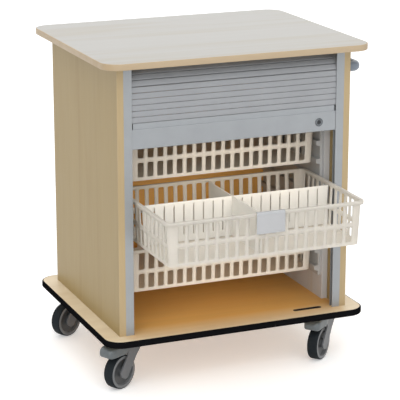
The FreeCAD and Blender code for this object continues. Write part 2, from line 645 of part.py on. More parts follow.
def divider_blank(half_span_top, bottom, place):
    """Tapered divider plate: place turns (along, z) into a Vector; the walls' lean narrows it downwards."""
    top = bottom + BASKET_HEIGHT - DIVIDER_BELOW_RIM
    low = bottom + BASKET_WALL + DIVIDER_CLEARANCE
    lean_top = BASKET_DRAFT * DIVIDER_BELOW_RIM / BASKET_HEIGHT
    lean_low = BASKET_DRAFT * (BASKET_HEIGHT - BASKET_WALL) / BASKET_HEIGHT
    wide = half_span_top - lean_top
    narrow = half_span_top - lean_low
    return polygon([(-narrow, low), (narrow, low), (wide, top), (-wide, top)], place), low, top


def divider_cross_x():
    return -HOLE_PITCH / 2


def divider_cross_y():
    return PULLED_FRONT_Y + BASKET_DEPTH / 2 + HOLE_PITCH / 2


def cross_divider():
    """Divider from side to side, with upright slots at the hole pitch, halved for the other divider."""
    bottom = basket_bottom(DIVIDED_BASKET)
    y = divider_cross_y()
    half = BASKET_WIDTH / 2 - BASKET_FLANGE - BASKET_WALL - DIVIDER_CLEARANCE
    face, low, top = divider_blank(half, bottom, lambda x, z: Vector(x, y - DIVIDER_THICKNESS / 2, z))
    plate = face.extrude(Vector(0, DIVIDER_THICKNESS, 0))
    cuts = []
    y0, y1 = y - DIVIDER_THICKNESS, y + DIVIDER_THICKNESS
    for x in hole_places(BASKET_WIDTH - 2 * BASKET_FLANGE):
        if abs(x - divider_cross_x()) < HOLE_PITCH / 2:
            continue
        cuts.append(box(x - DIVIDER_SLOT_WIDTH / 2, x + DIVIDER_SLOT_WIDTH / 2, y0, y1,
                        low + DIVIDER_SLOT_FOOT, top - DIVIDER_SLOT_TOP))
    slot = DIVIDER_THICKNESS / 2 + DIVIDER_CLEARANCE / 2
    cuts.append(box(divider_cross_x() - slot, divider_cross_x() + slot, y0, y1, (low + top) / 2, top))
    return plate.cut(cuts)


def long_divider():
    """Divider from back to front, halved over the cross divider."""
    bottom = basket_bottom(DIVIDED_BASKET)
    middle = PULLED_FRONT_Y + BASKET_DEPTH / 2
    x0 = divider_cross_x() - DIVIDER_THICKNESS / 2
    half = BASKET_DEPTH / 2 - BASKET_FLANGE - BASKET_WALL - DIVIDER_CLEARANCE
    face, low, top = divider_blank(half, bottom, lambda along, z: Vector(x0, middle + along, z))
    plate = face.extrude(Vector(DIVIDER_THICKNESS, 0, 0))
    slot = DIVIDER_THICKNESS / 2 + DIVIDER_CLEARANCE / 2
    y = divider_cross_y()
    gap = box(x0, x0 + DIVIDER_THICKNESS, y - slot, y + slot, low, (low + top) / 2)
    return plate.cut(gap)


def label_bounds():
    z1 = basket_bottom(DIVIDED_BASKET) + BASKET_HEIGHT - LABEL_TOP
    return LABEL_X - LABEL_WIDTH / 2, LABEL_X + LABEL_WIDTH / 2, z1 - LABEL_HEIGHT, z1


def label_holder():
    """Label frame clipped over the rim's lip, open at the top for the card."""
    x0, x1, z0, z1 = label_bounds()
    y1 = PULLED_FRONT_Y - LABEL_GAP
    y0 = y1 - LABEL_THICKNESS
    plate = box(x0, x1, y0, y1, z0, z1)
    pocket = box(x0 + LABEL_RIM, x1 - LABEL_RIM, y0, y1 - LABEL_CARD_THICKNESS, z0 + LABEL_RIM, z1)
    rim_top = basket_bottom(DIVIDED_BASKET) + BASKET_HEIGHT
    hook = box(x0, x1, y1 - LABEL_CARD_THICKNESS, y1, z1, rim_top + LABEL_GAP)
    hook_top = box(x0, x1, y1 - LABEL_CARD_THICKNESS, y1 + BASKET_FLANGE / 2, rim_top + LABEL_GAP,
                   rim_top + LABEL_GAP + LABEL_CARD_THICKNESS)
    return join([plate.cut(pocket), hook, hook_top])


def label_card():
    x0, x1, z0, z1 = label_bounds()
    y1 = PULLED_FRONT_Y - LABEL_GAP - LABEL_CARD_THICKNESS
    return box(x0 + LABEL_RIM, x1 - LABEL_RIM, y1 - LABEL_CARD_THICKNESS, y1, z0 + LABEL_RIM, z1)


# ---- side handle -----------------------------------------------------------------------------------------
def handle_section(plane):
    """Face of the grip's section, flat oval with chamfered edges; plane turns (across, up) into a Vector."""
    half_a, half_b, c = HANDLE_SECTION_X / 2, HANDLE_SECTION_Z / 2, HANDLE_CHAMFER
    outline = [(-half_a, -half_b + c), (-half_a + c, -half_b), (half_a - c, -half_b), (half_a, -half_b + c),
               (half_a, half_b - c), (half_a - c, half_b), (-half_a + c, half_b), (-half_a, half_b - c)]
    return polygon(outline, plane)


def side_handle():
    """Moulded grip bowed out of the right side panel: two legs, two bends and a straight bar."""
    wall = BODY_WIDTH / 2
    out = wall + HANDLE_REACH - HANDLE_SECTION_X / 2
    bend_x = out - HANDLE_BEND
    end = HANDLE_LENGTH / 2 - HANDLE_SECTION_X / 2
    bend_y = end - HANDLE_BEND
    straight = handle_section(lambda a, b: Vector(out + a, -bend_y, HANDLE_HEIGHT + b))
    pieces = [straight.extrude(Vector(0, 2 * bend_y, 0))]
    for side in (-1, 1):
        foot = handle_section(lambda a, b: Vector(wall, side * end + a, HANDLE_HEIGHT + b))
        pieces.append(foot.extrude(Vector(bend_x - wall, 0, 0)))
        turn = handle_section(lambda a, b: Vector(out + a, side * bend_y, HANDLE_HEIGHT + b))
        pieces.append(turn.revolve(Vector(bend_x, side * bend_y, 0), Vector(0, 0, 1), side * 90.0))
    return join(pieces)


# ---- castors ---------------------------------------------------------------------------------------------
def castor_axis(name):
    side_x, side_y = CASTORS[name][0], CASTORS[name][1]
    return side_x * (PLAN_WIDTH / 2 - CASTOR_INSET_X), side_y * (PLAN_DEPTH / 2 - CASTOR_INSET_Y)


def set_castor(name, shape):
    """Turn a shape from the castor's own frame, wheel towards +X, to its swivel angle under the base."""
    x, y = castor_axis(name)
    placed = shape.copy()
    placed.rotate(Vector(0, 0, 0), Vector(0, 0, 1), 180.0 + CASTORS[name][2])
    placed.translate(Vector(x, y, 0))
    return placed


def castor_stem(name):
    """Round stem, driven into the base board, that the fork swivels on."""
    x, y = castor_axis(name)
    return cylinder(STEM_RADIUS, (x, y, HEAD_BOTTOM - STEM_END), (x, y, BASE_TOP - STEM_COVER))


def in_xz(x, z):
    return Vector(x, 0, z)


def both_sides(face, y0, y1):
    """Extrude a face of the XZ plane from y0 to y1, and again on the other side."""
    solids = []
    for side in (-1, 1):
        solid = face.extrude(Vector(0, side * (y1 - y0), 0))
        solid.translate(Vector(0, side * y0, 0))
        solids.append(solid)
    return solids


def arm_face():
    """Outline of a fork arm: broad at the swivel head, narrowing to a blunt end round the axle."""
    axle = Vector(CASTOR_TRAIL, 0, WHEEL_RADIUS)
    along = (axle - Vector(0, 0, HEAD_BOTTOM)).normalize()
    across = Vector(-along.z, 0, along.x)
    half = ARM_WIDTH / 2
    back = -HEAD_REACH
    points = [
        Vector(back, 0, HEAD_TOP),
        Vector(back, 0, HEAD_BOTTOM),
        axle - across * half - along * ARM_SHOULDER,
        axle - across * half + along * (half / 2),
        axle - across * (half / 2) + along * half,
        axle + across * (half / 2) + along * half,
        axle + across * half + along * (half / 2),
        axle + across * half - along * ARM_HIP,
        Vector(HEAD_REACH, 0, HEAD_TOP),
    ]
    return Part.Face(Part.makePolygon(points + points[:1]))


def castor_fork(name):
    """Swivel head with two arms and the riveted axle, and ears with a pin where there is a brake pedal."""
    inside = WHEEL_WIDTH / 2 + ARM_GAP
    outside = inside + ARM_THICKNESS
    head = box(-HEAD_REACH, HEAD_REACH, -outside, outside, HEAD_BOTTOM, HEAD_TOP)
    corners = [edge for edge in head.Edges if abs(edge.Vertexes[0].Z - edge.Vertexes[-1].Z) > HEAD_HEIGHT / 2]
    pieces = [head.makeChamfer(HEAD_CHAMFER, corners)]
    pieces += both_sides(arm_face(), inside, outside)
    axle_ends = [(CASTOR_TRAIL, side * outside, WHEEL_RADIUS) for side in (-1, 1)]
    pieces.append(cylinder(AXLE_RADIUS, axle_ends[0], axle_ends[1]))
    if CASTORS[name][3]:
        px, pz = PEDAL_PIN_X, PEDAL_PIN_Z
        ear = [(0.0, HEAD_TOP), (px, HEAD_TOP), (px + PEDAL_EAR_RADIUS, pz), (px, pz - PEDAL_EAR_RADIUS),
               (0.0, HEAD_BOTTOM)]
        pieces += both_sides(polygon(ear, in_xz), inside, outside)
        pieces.append(cylinder(PEDAL_PIN_RADIUS, (px, -outside, pz), (px, outside, pz)))
    bore = cylinder(STEM_RADIUS + RUNNING_FIT, (0, 0, HEAD_BOTTOM), (0, 0, HEAD_TOP))
    return set_castor(name, join(pieces).cut(bore))


def wheel(name):
    """Wheel with its tyre, turning on the riveted axle."""
    half = WHEEL_WIDTH / 2
    ends = [(CASTOR_TRAIL, side * half, WHEEL_RADIUS) for side in (-1, 1)]
    disc = cylinder(WHEEL_RADIUS, ends[0], ends[1])
    return set_castor(name, disc.cut(cylinder(AXLE_RADIUS + RUNNING_FIT, ends[0], ends[1])))


def nose_corners():
    """Wedges that bevel the two front corners of a pedal, seen from above."""
    wedges = []
    for side in (-1, 1):
        edge = side * PEDAL_HALF_WIDTH
        corner = [(PEDAL_REACH, edge), (PEDAL_REACH - PEDAL_CORNER, edge),
                  (PEDAL_REACH, edge - side * PEDAL_CORNER)]
        face = polygon(corner, lambda x, y: Vector(x, y, 0))
        wedges.append(face.extrude(Vector(0, 0, HEAD_TOP)))
    return wedges


def brake_pedal(name):
    """Foot pedal as broad as the fork: a barrel on the fork's pin and a round-nosed plate over the wheel."""
    px, pz = PEDAL_PIN_X, PEDAL_PIN_Z
    back_x = px + PEDAL_EAR_RADIUS + MOVING_GAP
    under_z = WHEEL_DIAMETER + PEDAL_CLEARANCE
    brow_z = HEAD_TOP - PEDAL_BROW_DROP
    nose_x = PEDAL_REACH - PEDAL_NOSE
    back_low = in_xz(back_x, under_z)
    back_top = in_xz(back_x, HEAD_TOP - PEDAL_PIN_DROP / 2)
    nose_low = in_xz(nose_x, under_z)
    nose_top = in_xz(nose_x, brow_z)
    tip = in_xz(PEDAL_REACH, (under_z + brow_z) / 2)
    edges = [
        line(back_low, nose_low),
        Part.Arc(nose_low, tip, nose_top).toShape(),
        line(nose_top, back_top),
        line(back_top, back_low),
    ]
    plate = Part.Face(Part.Wire(edges)).extrude(Vector(0, 2 * PEDAL_HALF_WIDTH, 0))
    plate.translate(Vector(0, -PEDAL_HALF_WIDTH, 0))
    plate = plate.cut(nose_corners())
    inside = WHEEL_WIDTH / 2 + ARM_GAP - MOVING_GAP
    barrel = cylinder(PEDAL_EAR_RADIUS - PEDAL_PIN_DROP / 2, (px, -inside, pz), (px, inside, pz))
    half_neck = PEDAL_NECK / 2
    neck = box(px, back_x + half_neck, -inside, inside, pz - half_neck, pz + half_neck)
    pin_hole = cylinder(PEDAL_PIN_RADIUS + RUNNING_FIT, (px, -inside, pz), (px, inside, pz))
    return set_castor(name, join([plate, barrel, neck]).cut(pin_hole))


# ---- assembly --------------------------------------------------------------------------------------------
def main():
    os.makedirs("parts", exist_ok=True)
    save("worktop", worktop())
    save("worktop_edge_band", worktop_edge_band())
    save("base_board", base_board())
    save("bumper_edge", bumper_edge())
    save("lock_strike", lock_strike())
    save("left_side_panel", mirror_x(side_panel()))
    save("right_side_panel", side_panel())
    save("back_panel", back_panel())
    save("inner_back_panel", inner_back_panel())
    save("front_cross_rail", cross_rail(FRONT_RUN_Y + BEND_RADIUS))
    save("rear_cross_rail", cross_rail(REAR_RUN_Y - BEND_RADIUS - RAIL_DEPTH))

    save("left_post", mirror_x(post()))
    save("right_post", post())
    save("left_shutter_track", mirror_x(shutter_track()))
    save("right_shutter_track", shutter_track())
    save("front_slats", Part.makeCompound(slats(0, front_slat_count())))
    save("stored_slats", Part.makeCompound(slats(front_slat_count(), slat_count())))
    save("bottom_bar", bottom_bar())
    save("bar_glides", Part.makeCompound(bar_glides()))
    save("lock_barrel", lock_barrel())

    save("left_runner_board", mirror_x(runner_board()))
    save("right_runner_board", runner_board())
    save("left_ledge_rack", mirror_x(ledge_rack()))
    save("right_ledge_rack", ledge_rack())
    for name in LEDGE_OF:
        save(name, basket(name, PULLED_FRONT_Y if name == DIVIDED_BASKET else CLOSED_FRONT_Y))
    save("cross_divider", cross_divider())
    save("long_divider", long_divider())
    save("label_holder", label_holder())
    save("label_card", label_card())

    save("side_handle", side_handle())

    save("castor_stems", Part.makeCompound([castor_stem(name) for name in CASTORS]))
    for name in CASTORS:
        save(name + "_castor_fork", castor_fork(name))
        save(name + "_wheel", wheel(name))
        if CASTORS[name][3]:
            save(name + "_brake_pedal", brake_pedal(name))


main()
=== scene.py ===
"""Looks of the storage cart: materials, edge bands, slats, baskets, lock, castors, screws, camera and studio."""

import json
import math

import bmesh
import bpy
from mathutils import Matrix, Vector


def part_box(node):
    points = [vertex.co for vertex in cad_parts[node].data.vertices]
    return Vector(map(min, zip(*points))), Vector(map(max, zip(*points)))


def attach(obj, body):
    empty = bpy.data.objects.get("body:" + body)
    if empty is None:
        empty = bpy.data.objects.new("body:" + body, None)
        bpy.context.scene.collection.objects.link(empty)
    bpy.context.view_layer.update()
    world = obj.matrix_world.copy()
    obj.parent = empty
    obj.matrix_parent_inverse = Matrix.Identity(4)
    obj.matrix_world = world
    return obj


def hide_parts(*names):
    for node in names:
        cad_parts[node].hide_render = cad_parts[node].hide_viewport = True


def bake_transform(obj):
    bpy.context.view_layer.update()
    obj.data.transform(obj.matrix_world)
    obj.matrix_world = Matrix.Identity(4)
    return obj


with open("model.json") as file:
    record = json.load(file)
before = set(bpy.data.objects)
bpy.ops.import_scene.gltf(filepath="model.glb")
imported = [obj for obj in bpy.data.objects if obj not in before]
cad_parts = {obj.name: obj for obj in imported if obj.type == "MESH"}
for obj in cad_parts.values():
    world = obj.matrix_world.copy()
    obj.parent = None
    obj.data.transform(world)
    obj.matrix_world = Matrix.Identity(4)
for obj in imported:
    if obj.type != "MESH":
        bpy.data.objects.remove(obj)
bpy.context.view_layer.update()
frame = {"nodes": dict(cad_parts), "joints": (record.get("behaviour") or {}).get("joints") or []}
nodes = frame["nodes"]

MM = 0.001
X, Y, Z = 0, 1, 2

# ---- places taken from the frame -------------------------------------------------------------------------
TOP_LOW, TOP_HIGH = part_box("worktop_edge_band")
CABINET_X = (TOP_LOW.x + TOP_HIGH.x) / 2              # middle of the cabinet
CABINET_Y = (TOP_LOW.y + TOP_HIGH.y) / 2
LEFT_PANEL_LOW, LEFT_PANEL_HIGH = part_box("left_side_panel")
RIGHT_PANEL_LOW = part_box("right_side_panel")[0]
BACK_LOW, BACK_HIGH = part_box("back_panel")
BAR_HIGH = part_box("bottom_bar")[1]
SLATS_LOW, SLATS_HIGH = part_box("front_slats")
LOCK_LOW, LOCK_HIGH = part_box("lock_barrel")
STRIKE_LOW, STRIKE_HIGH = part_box("lock_strike")
JOINT_AXES = {joint["name"]: joint["axis"] for joint in frame["joints"]}
CASTORS = ("front_left", "front_right", "rear_left", "rear_right")

# ---- sizes of the scene's own pieces, in metres ----------------------------------------------------------
PLAN_RADIUS = 50 * MM          # corners of the worktop and the base board
SLAT_PITCH = 16.7 * MM
SLAT_GAP = 0.8 * MM
SLAT_THICKNESS = 9.6 * MM
SLAT_CROWN = 0.5 * MM          # how far the middle of a slat's face stands out
BEND_RADIUS = 45 * MM
BEAD_RADIUS = 1.2 * MM
BEAD_DEPTH = -3.3 * MM         # of the hinge beads, from the middle of the slats' thickness
BEAD_INSET = 4 * MM            # the beads are shorter than the slats at each end
SLAT_COUNT = 8                 # slats in front and in the first half of the bend


# ---- materials -------------------------------------------------------------------------------------------
def new_material(name):
    material = bpy.data.materials.new(name)
    material.use_nodes = True
    tree = material.node_tree
    tree.nodes.clear()
    out = tree.nodes.new("ShaderNodeOutputMaterial")
    shader = tree.nodes.new("ShaderNodeBsdfPrincipled")
    tree.links.new(shader.outputs["BSDF"], out.inputs["Surface"])
    return material, tree, shader


def coordinates(tree, scale):
    """Object coordinates stretched by scale, in metres of the row frame."""
    source = tree.nodes.new("ShaderNodeTexCoord")
    mapping = tree.nodes.new("ShaderNodeMapping")
    mapping.inputs["Scale"].default_value = scale
    tree.links.new(source.outputs["Object"], mapping.inputs["Vector"])
    return mapping.outputs["Vector"]


def noise(tree, vector, scale, detail=4.0, roughness=0.55, distortion=0.0):
    node = tree.nodes.new("ShaderNodeTexNoise")
    node.inputs["Scale"].default_value = scale
    node.inputs["Detail"].default_value = detail
    node.inputs["Roughness"].default_value = roughness
    node.inputs["Distortion"].default_value = distortion
    tree.links.new(vector, node.inputs["Vector"])
    return node.outputs["Fac"]


def ramp(tree, fac, stops):
    """Colour ramp; stops are (position, (r, g, b))."""
    node = tree.nodes.new("ShaderNodeValToRGB")
    elements = node.color_ramp.elements
    while len(elements) < len(stops):
        elements.new(0.5)
    for element, (position, color) in zip(elements, stops):
        element.position = position
        element.color = (*color, 1.0)
    tree.links.new(fac, node.inputs["Fac"])
    return node.outputs["Color"]


def mix(tree, fac, a, b):
    """Colour a turned into colour b by fac; each of them is a socket or a plain value."""
    node = tree.nodes.new("ShaderNodeMix")
    node.data_type = "RGBA"
    for socket, value in ((node.inputs["Factor"], fac), (node.inputs[6], a), (node.inputs[7], b)):
        if hasattr(value, "links"):
            tree.links.new(value, socket)
        elif isinstance(value, (int, float)):
            socket.default_value = value
        else:
            socket.default_value = (*value, 1.0)
    return node.outputs[2]


def spread(tree, fac, low, high, start=0.0, end=1.0):
    """Fac from start..end turned into low..high."""
    node = tree.nodes.new("ShaderNodeMapRange")
    node.inputs["From Min"].default_value = start
    node.inputs["From Max"].default_value = end
    node.inputs["To Min"].default_value = low
    node.inputs["To Max"].default_value = high
    tree.links.new(fac, node.inputs["Value"])
    return node.outputs["Result"]


def axis_value(tree, axis):
    """One object coordinate."""
    source = tree.nodes.new("ShaderNodeTexCoord")
    split = tree.nodes.new("ShaderNodeSeparateXYZ")
    tree.links.new(source.outputs["Object"], split.inputs["Vector"])
    return split.outputs[axis]


def finish_normal(tree, shader, height, strength, distance, edge):
    """Bump on top of softened edges."""
    bump = tree.nodes.new("ShaderNodeBump")
    bump.inputs["Strength"].default_value = strength
    bump.inputs["Distance"].default_value = distance
    tree.links.new(height, bump.inputs["Height"])
    if edge:
        bevel = tree.nodes.new("ShaderNodeBevel")
        bevel.samples = 6
        bevel.inputs["Radius"].default_value = edge
        tree.links.new(bevel.outputs["Normal"], bump.inputs["Normal"])
    tree.links.new(bump.outputs["Normal"], shader.inputs["Normal"])


def scaled(color, factor):
    return tuple(min(1.0, channel * factor) for channel in color)


def between(tree, axis, low, high, blur):
    """1 where an object coordinate lies between low and high, 0 outside, with a soft edge."""
    value = axis_value(tree, axis)
    product = tree.nodes.new("ShaderNodeMath")
    product.operation = "MULTIPLY"
    tree.links.new(spread(tree, value, 0.0, 1.0, low - blur, low + blur), product.inputs[0])
    tree.links.new(spread(tree, value, 1.0, 0.0, high - blur, high + blur), product.inputs[1])
    return product.outputs[0]


def painted_bounce_depth(tree):
    """Mask of the painted warm light and shade inside the body: 0 at its front, 1 a little behind it."""
    return between(tree, Y, LEFT_PANEL_LOW.y - 0.005, BACK_HIGH.y, 0.055)


def wood(name, color, grain, contrast=0.10, rough=0.42, edge=0.8 * MM, inside=None, band=None,
         shine=0.35):
    """Board with its grain along the axis numbered by grain: soft growth bands and fine pores.

    Within the body the board turns to the inside colour: painted light and shade, a warm orange for the light
    bounced between the boards in the shaded cabinet. A board with a band has that colour on its front edge.
    """
    material, tree, shader = new_material(name)
    along = [9.0, 9.0, 9.0]
    along[grain] = 0.55
    fine = [260.0, 260.0, 260.0]
    fine[grain] = 9.0
    bands = noise(tree, coordinates(tree, along), 1.6, 3.0, 0.5, 1.1)
    streaks = noise(tree, coordinates(tree, fine), 1.0, 3.0, 0.6)
    warm = (color[0], color[1] * 0.965, color[2] * 0.90)
    tone = ramp(tree, bands, [(0.30, scaled(warm, 1 - contrast)), (0.50, color),
                              (0.68, scaled(color, 1 + contrast / 2))])
    # Painted light: the warm inside tone stands for bounced light and shade within the body, not the wood's own
    # colour.
    if inside:
        painted_bounce_tone = ramp(tree, bands, [(0.30, scaled(inside, 1 - contrast)), (0.68, inside)])
        across = between(tree, X, LEFT_PANEL_HIGH.x, RIGHT_PANEL_LOW.x, 0.01)
        tone = mix(tree, mix(tree, across, (0.0, 0.0, 0.0), painted_bounce_depth(tree)), tone, painted_bounce_tone)
    if band:
        front = between(tree, Y, LEFT_PANEL_LOW.y - 0.01, LEFT_PANEL_LOW.y + 1.5 * MM, 0.3 * MM)
        tone = mix(tree, front, tone, band)
    flecked = mix(tree, spread(tree, streaks, 0.0, 0.30), tone, scaled(warm, 1 - 1.6 * contrast))
    tree.links.new(flecked, shader.inputs["Base Color"])
    tree.links.new(spread(tree, streaks, rough - 0.06, rough + 0.10), shader.inputs["Roughness"])
    shader.inputs["Specular IOR Level"].default_value = shine
    finish_normal(tree, shader, streaks, 0.12, 0.2 * MM, edge)
    return material


def plastic(name, color, rough=0.45, mottle=0.04, grain=900.0, bump=0.10, edge=0.8 * MM, coat=0.0,
            glow=0.0, shine=0.5):
    """Moulded plastic: a fine spark-eroded grain, faint clouding and scuffs; glow lets light through walls."""
    material, tree, shader = new_material(name)
    place = coordinates(tree, (1.0, 1.0, 1.0))
    clouds = noise(tree, place, 14.0, 3.0)
    texture = noise(tree, place, grain, 2.0)
    scuffs = noise(tree, place, 90.0, 6.0, 0.7)
    tone = ramp(tree, clouds, [(0.25, scaled(color, 1 - mottle)), (0.75, scaled(color, 1 + mottle))])
    tree.links.new(tone, shader.inputs["Base Color"])
    tree.links.new(spread(tree, scuffs, rough - 0.07, rough + 0.09), shader.inputs["Roughness"])
    shader.inputs["Coat Weight"].default_value = coat
    shader.inputs["Specular IOR Level"].default_value = shine
    finish_normal(tree, shader, texture, bump, 0.05 * MM, edge)
    if glow:
        through = tree.nodes.new("ShaderNodeBsdfTranslucent")
        tree.links.new(tone, through.inputs["Color"])
        both = tree.nodes.new("ShaderNodeMixShader")
        both.inputs[0].default_value = glow
        tree.links.new(shader.outputs["BSDF"], both.inputs[1])
        tree.links.new(through.outputs["BSDF"], both.inputs[2])
        tree.links.new(both.outputs[0], tree.nodes["Material Output"].inputs["Surface"])
    return material


def metal(name, color, grain, rough=0.34, metallic=1.0, edge=0.5 * MM):
    """Satin metal drawn along the axis numbered by grain."""
    material, tree, shader = new_material(name)
    fine = [1500.0, 1500.0, 1500.0]
    fine[grain] = 6.0
    lines = noise(tree, coordinates(tree, fine), 1.0, 2.0)
    clouds = noise(tree, coordinates(tree, (1.0, 1.0, 1.0)), 22.0, 4.0)
    tone = ramp(tree, clouds, [(0.2, scaled(color, 0.95)), (0.8, scaled(color, 1.04))])
    tree.links.new(tone, shader.inputs["Base Color"])
    shader.inputs["Metallic"].default_value = metallic
    tree.links.new(spread(tree, lines, rough - 0.07, rough + 0.08), shader.inputs["Roughness"])
    finish_normal(tree, shader, lines, 0.10, 0.03 * MM, edge)
    return material


looks = {
    "laminate": wood("laminate_top", (0.53, 0.522, 0.502), X, contrast=0.04, rough=0.50, shine=0.10),
    "maple_edge": wood("maple_edge", (0.515, 0.40, 0.265), X, contrast=0.08, edge=0.0),
    "maple_upright": wood("maple_upright", (0.365, 0.265, 0.110), Z, contrast=0.06, band=(0.51, 0.39, 0.225)),
    # maple_base: its inside colour is painted light, the warm bounce and shade inside the cabinet.
    "maple_base": wood("maple_base", (0.79, 0.665, 0.475), X, contrast=0.08, inside=(0.75, 0.385, 0.078),
                       shine=0.20),
    # Inside boards: maple with painted light, more orange for the light bounced between the boards in the shade
    # inside.
    "maple_inner_painted_bounce": wood("maple_inner_painted_bounce", (0.86, 0.47, 0.13), X, contrast=0.10),
    "cream_board": wood("cream_board", (0.60, 0.62, 0.66), Z, contrast=0.03),
    "bumper": plastic("bumper_black", (0.007, 0.007, 0.008), rough=0.8, mottle=0.10, edge=0.0, shine=0.0),
    "aluminium": metal("aluminium_drawn", (0.335, 0.352, 0.367), Z, rough=0.42, metallic=0.35),
    "bar": metal("aluminium_bar", (0.340, 0.358, 0.376), X, rough=0.42, metallic=0.30),
    "slat": plastic("slat_grey", (0.345, 0.356, 0.374), rough=0.42, grain=600.0, edge=0.0, shine=0.4),
    "track": plastic("track_grey", (0.33, 0.34, 0.35), rough=0.5),
    "rack": plastic("rack_grey", (0.45, 0.46, 0.465), rough=0.48),
    "basket": plastic("basket_ivory", (0.85, 0.82, 0.765), rough=0.42, mottle=0.03, edge=1.0 * MM, glow=0.50),
    "divider": plastic("divider_ivory", (0.93, 0.915, 0.87), rough=0.38, mottle=0.02, glow=0.30),
    "label": plastic("label_frame", (0.505, 0.515, 0.53), rough=0.30, coat=0.2),
    "card": plastic("label_paper", (0.49, 0.495, 0.505), rough=0.7, grain=1500.0, bump=0.2),
    "handle": plastic("handle_grey", (0.20, 0.235, 0.285), rough=0.34, edge=0.0, shine=0.5),
    "lock": metal("lock_dark", (0.045, 0.048, 0.052), Y, rough=0.28, metallic=0.6),
    "collar": metal("lock_collar_grey", (0.13, 0.14, 0.15), Y, rough=0.26, metallic=0.8),
    "strike": plastic("strike_black", (0.015, 0.012, 0.010), rough=0.5, shine=0.3),
    "zinc": metal("zinc_screws", (0.5, 0.5, 0.5), Z, rough=0.3),
    "castor": plastic("castor_grey", (0.135, 0.14, 0.148), rough=0.40, edge=1.0 * MM),
    "pedal": plastic("pedal_grey", (0.106, 0.122, 0.128), rough=0.38, edge=0.0, coat=0.08),
    "tyre": plastic("tyre_grey", (0.012, 0.016, 0.019), rough=0.7, mottle=0.10, edge=0.0, shine=0.15),
    "rim": plastic("rim_grey", (0.165, 0.172, 0.178), rough=0.38, edge=0.0),
    "dish": plastic("wheel_centre", (0.066, 0.070, 0.073), rough=0.45, edge=0.0),
}

DRESS = {
    "laminate": ["worktop"],
    "maple_upright": ["left_side_panel", "right_side_panel", "back_panel"],
    "maple_base": ["base_board"],
    "maple_inner_painted_bounce": ["inner_back_panel", "front_cross_rail", "rear_cross_rail"],
    "cream_board": ["left_runner_board", "right_runner_board"],
    "aluminium": ["left_post", "right_post"],
    "bar": ["bottom_bar"],
    "track": ["left_shutter_track", "right_shutter_track", "bar_glides"],
    "slat": ["stored_slats"],
    "rack": ["left_ledge_rack", "right_ledge_rack"],
    "divider": ["cross_divider", "long_divider"],
    "label": ["label_holder"],
    "card": ["label_card"],
    "handle": ["side_handle"],
    "lock": ["lock_barrel"],
    "strike": ["lock_strike"],
    "zinc": ["castor_stems"],
    "castor": [name + "_castor_fork" for name in CASTORS],
}
for look, names in DRESS.items():
    for name in names:
        nodes[name].data.materials.clear()
        nodes[name].data.materials.append(looks[look])


# ---- pieces ----------------------------------------------------------------------------------------------
def piece(name, points, faces, look, smooth=35.0):
    """Mesh object in the row frame, smooth across edges flatter than the given angle."""
    mesh = bpy.data.meshes.new(name)
    mesh.from_pydata([tuple(point) for point in points], [], faces)
    mesh.materials.append(looks[look])
    mesh.shade_smooth()
    mesh.set_sharp_from_angle(angle=math.radians(smooth))
    obj = bpy.data.objects.new(name, mesh)
    bpy.context.scene.collection.objects.link(obj)
    return obj


def strip(rings, closed=True, caps=False):
    """Faces that join rings of equally many points into a skin; a cap closes an open skin at both ends."""
    count = len(rings[0])
    points = [point for ring in rings for point in ring]
    faces = []
    last = len(rings) if closed else len(rings) - 1
    for i in range(last):
        j = (i + 1) % len(rings)
        for k in range(count):
            m = (k + 1) % count
            faces.append((i * count + k, i * count + m, j * count + m, j * count + k))
    if caps:
        faces.append(tuple(range(count - 1, -1, -1)))
        faces.append(tuple(range(len(points) - count, len(points))))
    return points, faces


def lathe(name, profile, center, axis, look, steps=64, smooth=35.0):
    """Ring turned round an axis; profile is a closed list of (along the axis, radius)."""
    turn = Vector(axis).normalized().to_track_quat("Z", "Y").to_matrix()
    rings = []
    for step in range(steps):
        angle = 2 * math.pi * step / steps
        rings.append([Vector(center) + turn @ Vector((r * math.cos(angle), r * math.sin(angle), a))
                      for a, r in profile])
    points, faces = strip(rings)
    return piece(name, points, faces, look, smooth)


def soften(node_name, width, segments=2, angle=30.0):
    """Round the edges of a carried-over node with modifiers: coplanar faces merged, then a real bevel."""
    obj = nodes[node_name]
    merge = obj.modifiers.new("weld", "WELD")
    merge.merge_threshold = 0.005 * MM
    flat = obj.modifiers.new("flat", "DECIMATE")
    flat.decimate_type = "DISSOLVE"
    flat.angle_limit = math.radians(0.5)
    bevel = obj.modifiers.new("edges", "BEVEL")
    bevel.width = width
    bevel.segments = segments
    bevel.limit_method = "ANGLE"
    bevel.angle_limit = math.radians(angle)
    bevel.harden_normals = True


# ---- edge bands ------------------------------------------------------------------------------------------
def band_section(thickness, rounding, z0, z1):
    """Section of an edge band: flat inside, its two outer edges rounded; points are (inset, z)."""
    section = [(thickness, z1), (thickness, z0)]
    for step in range(5):
        angle = math.radians(90.0 * step / 4)
        section.append((rounding * (1 - math.sin(angle)), z0 + rounding * (1 - math.cos(angle))))
    for step in range(5):
        angle = math.radians(90.0 * step / 4)
        section.append((rounding * (1 - math.cos(angle)), z1 - rounding * (1 - math.sin(angle))))
    return section


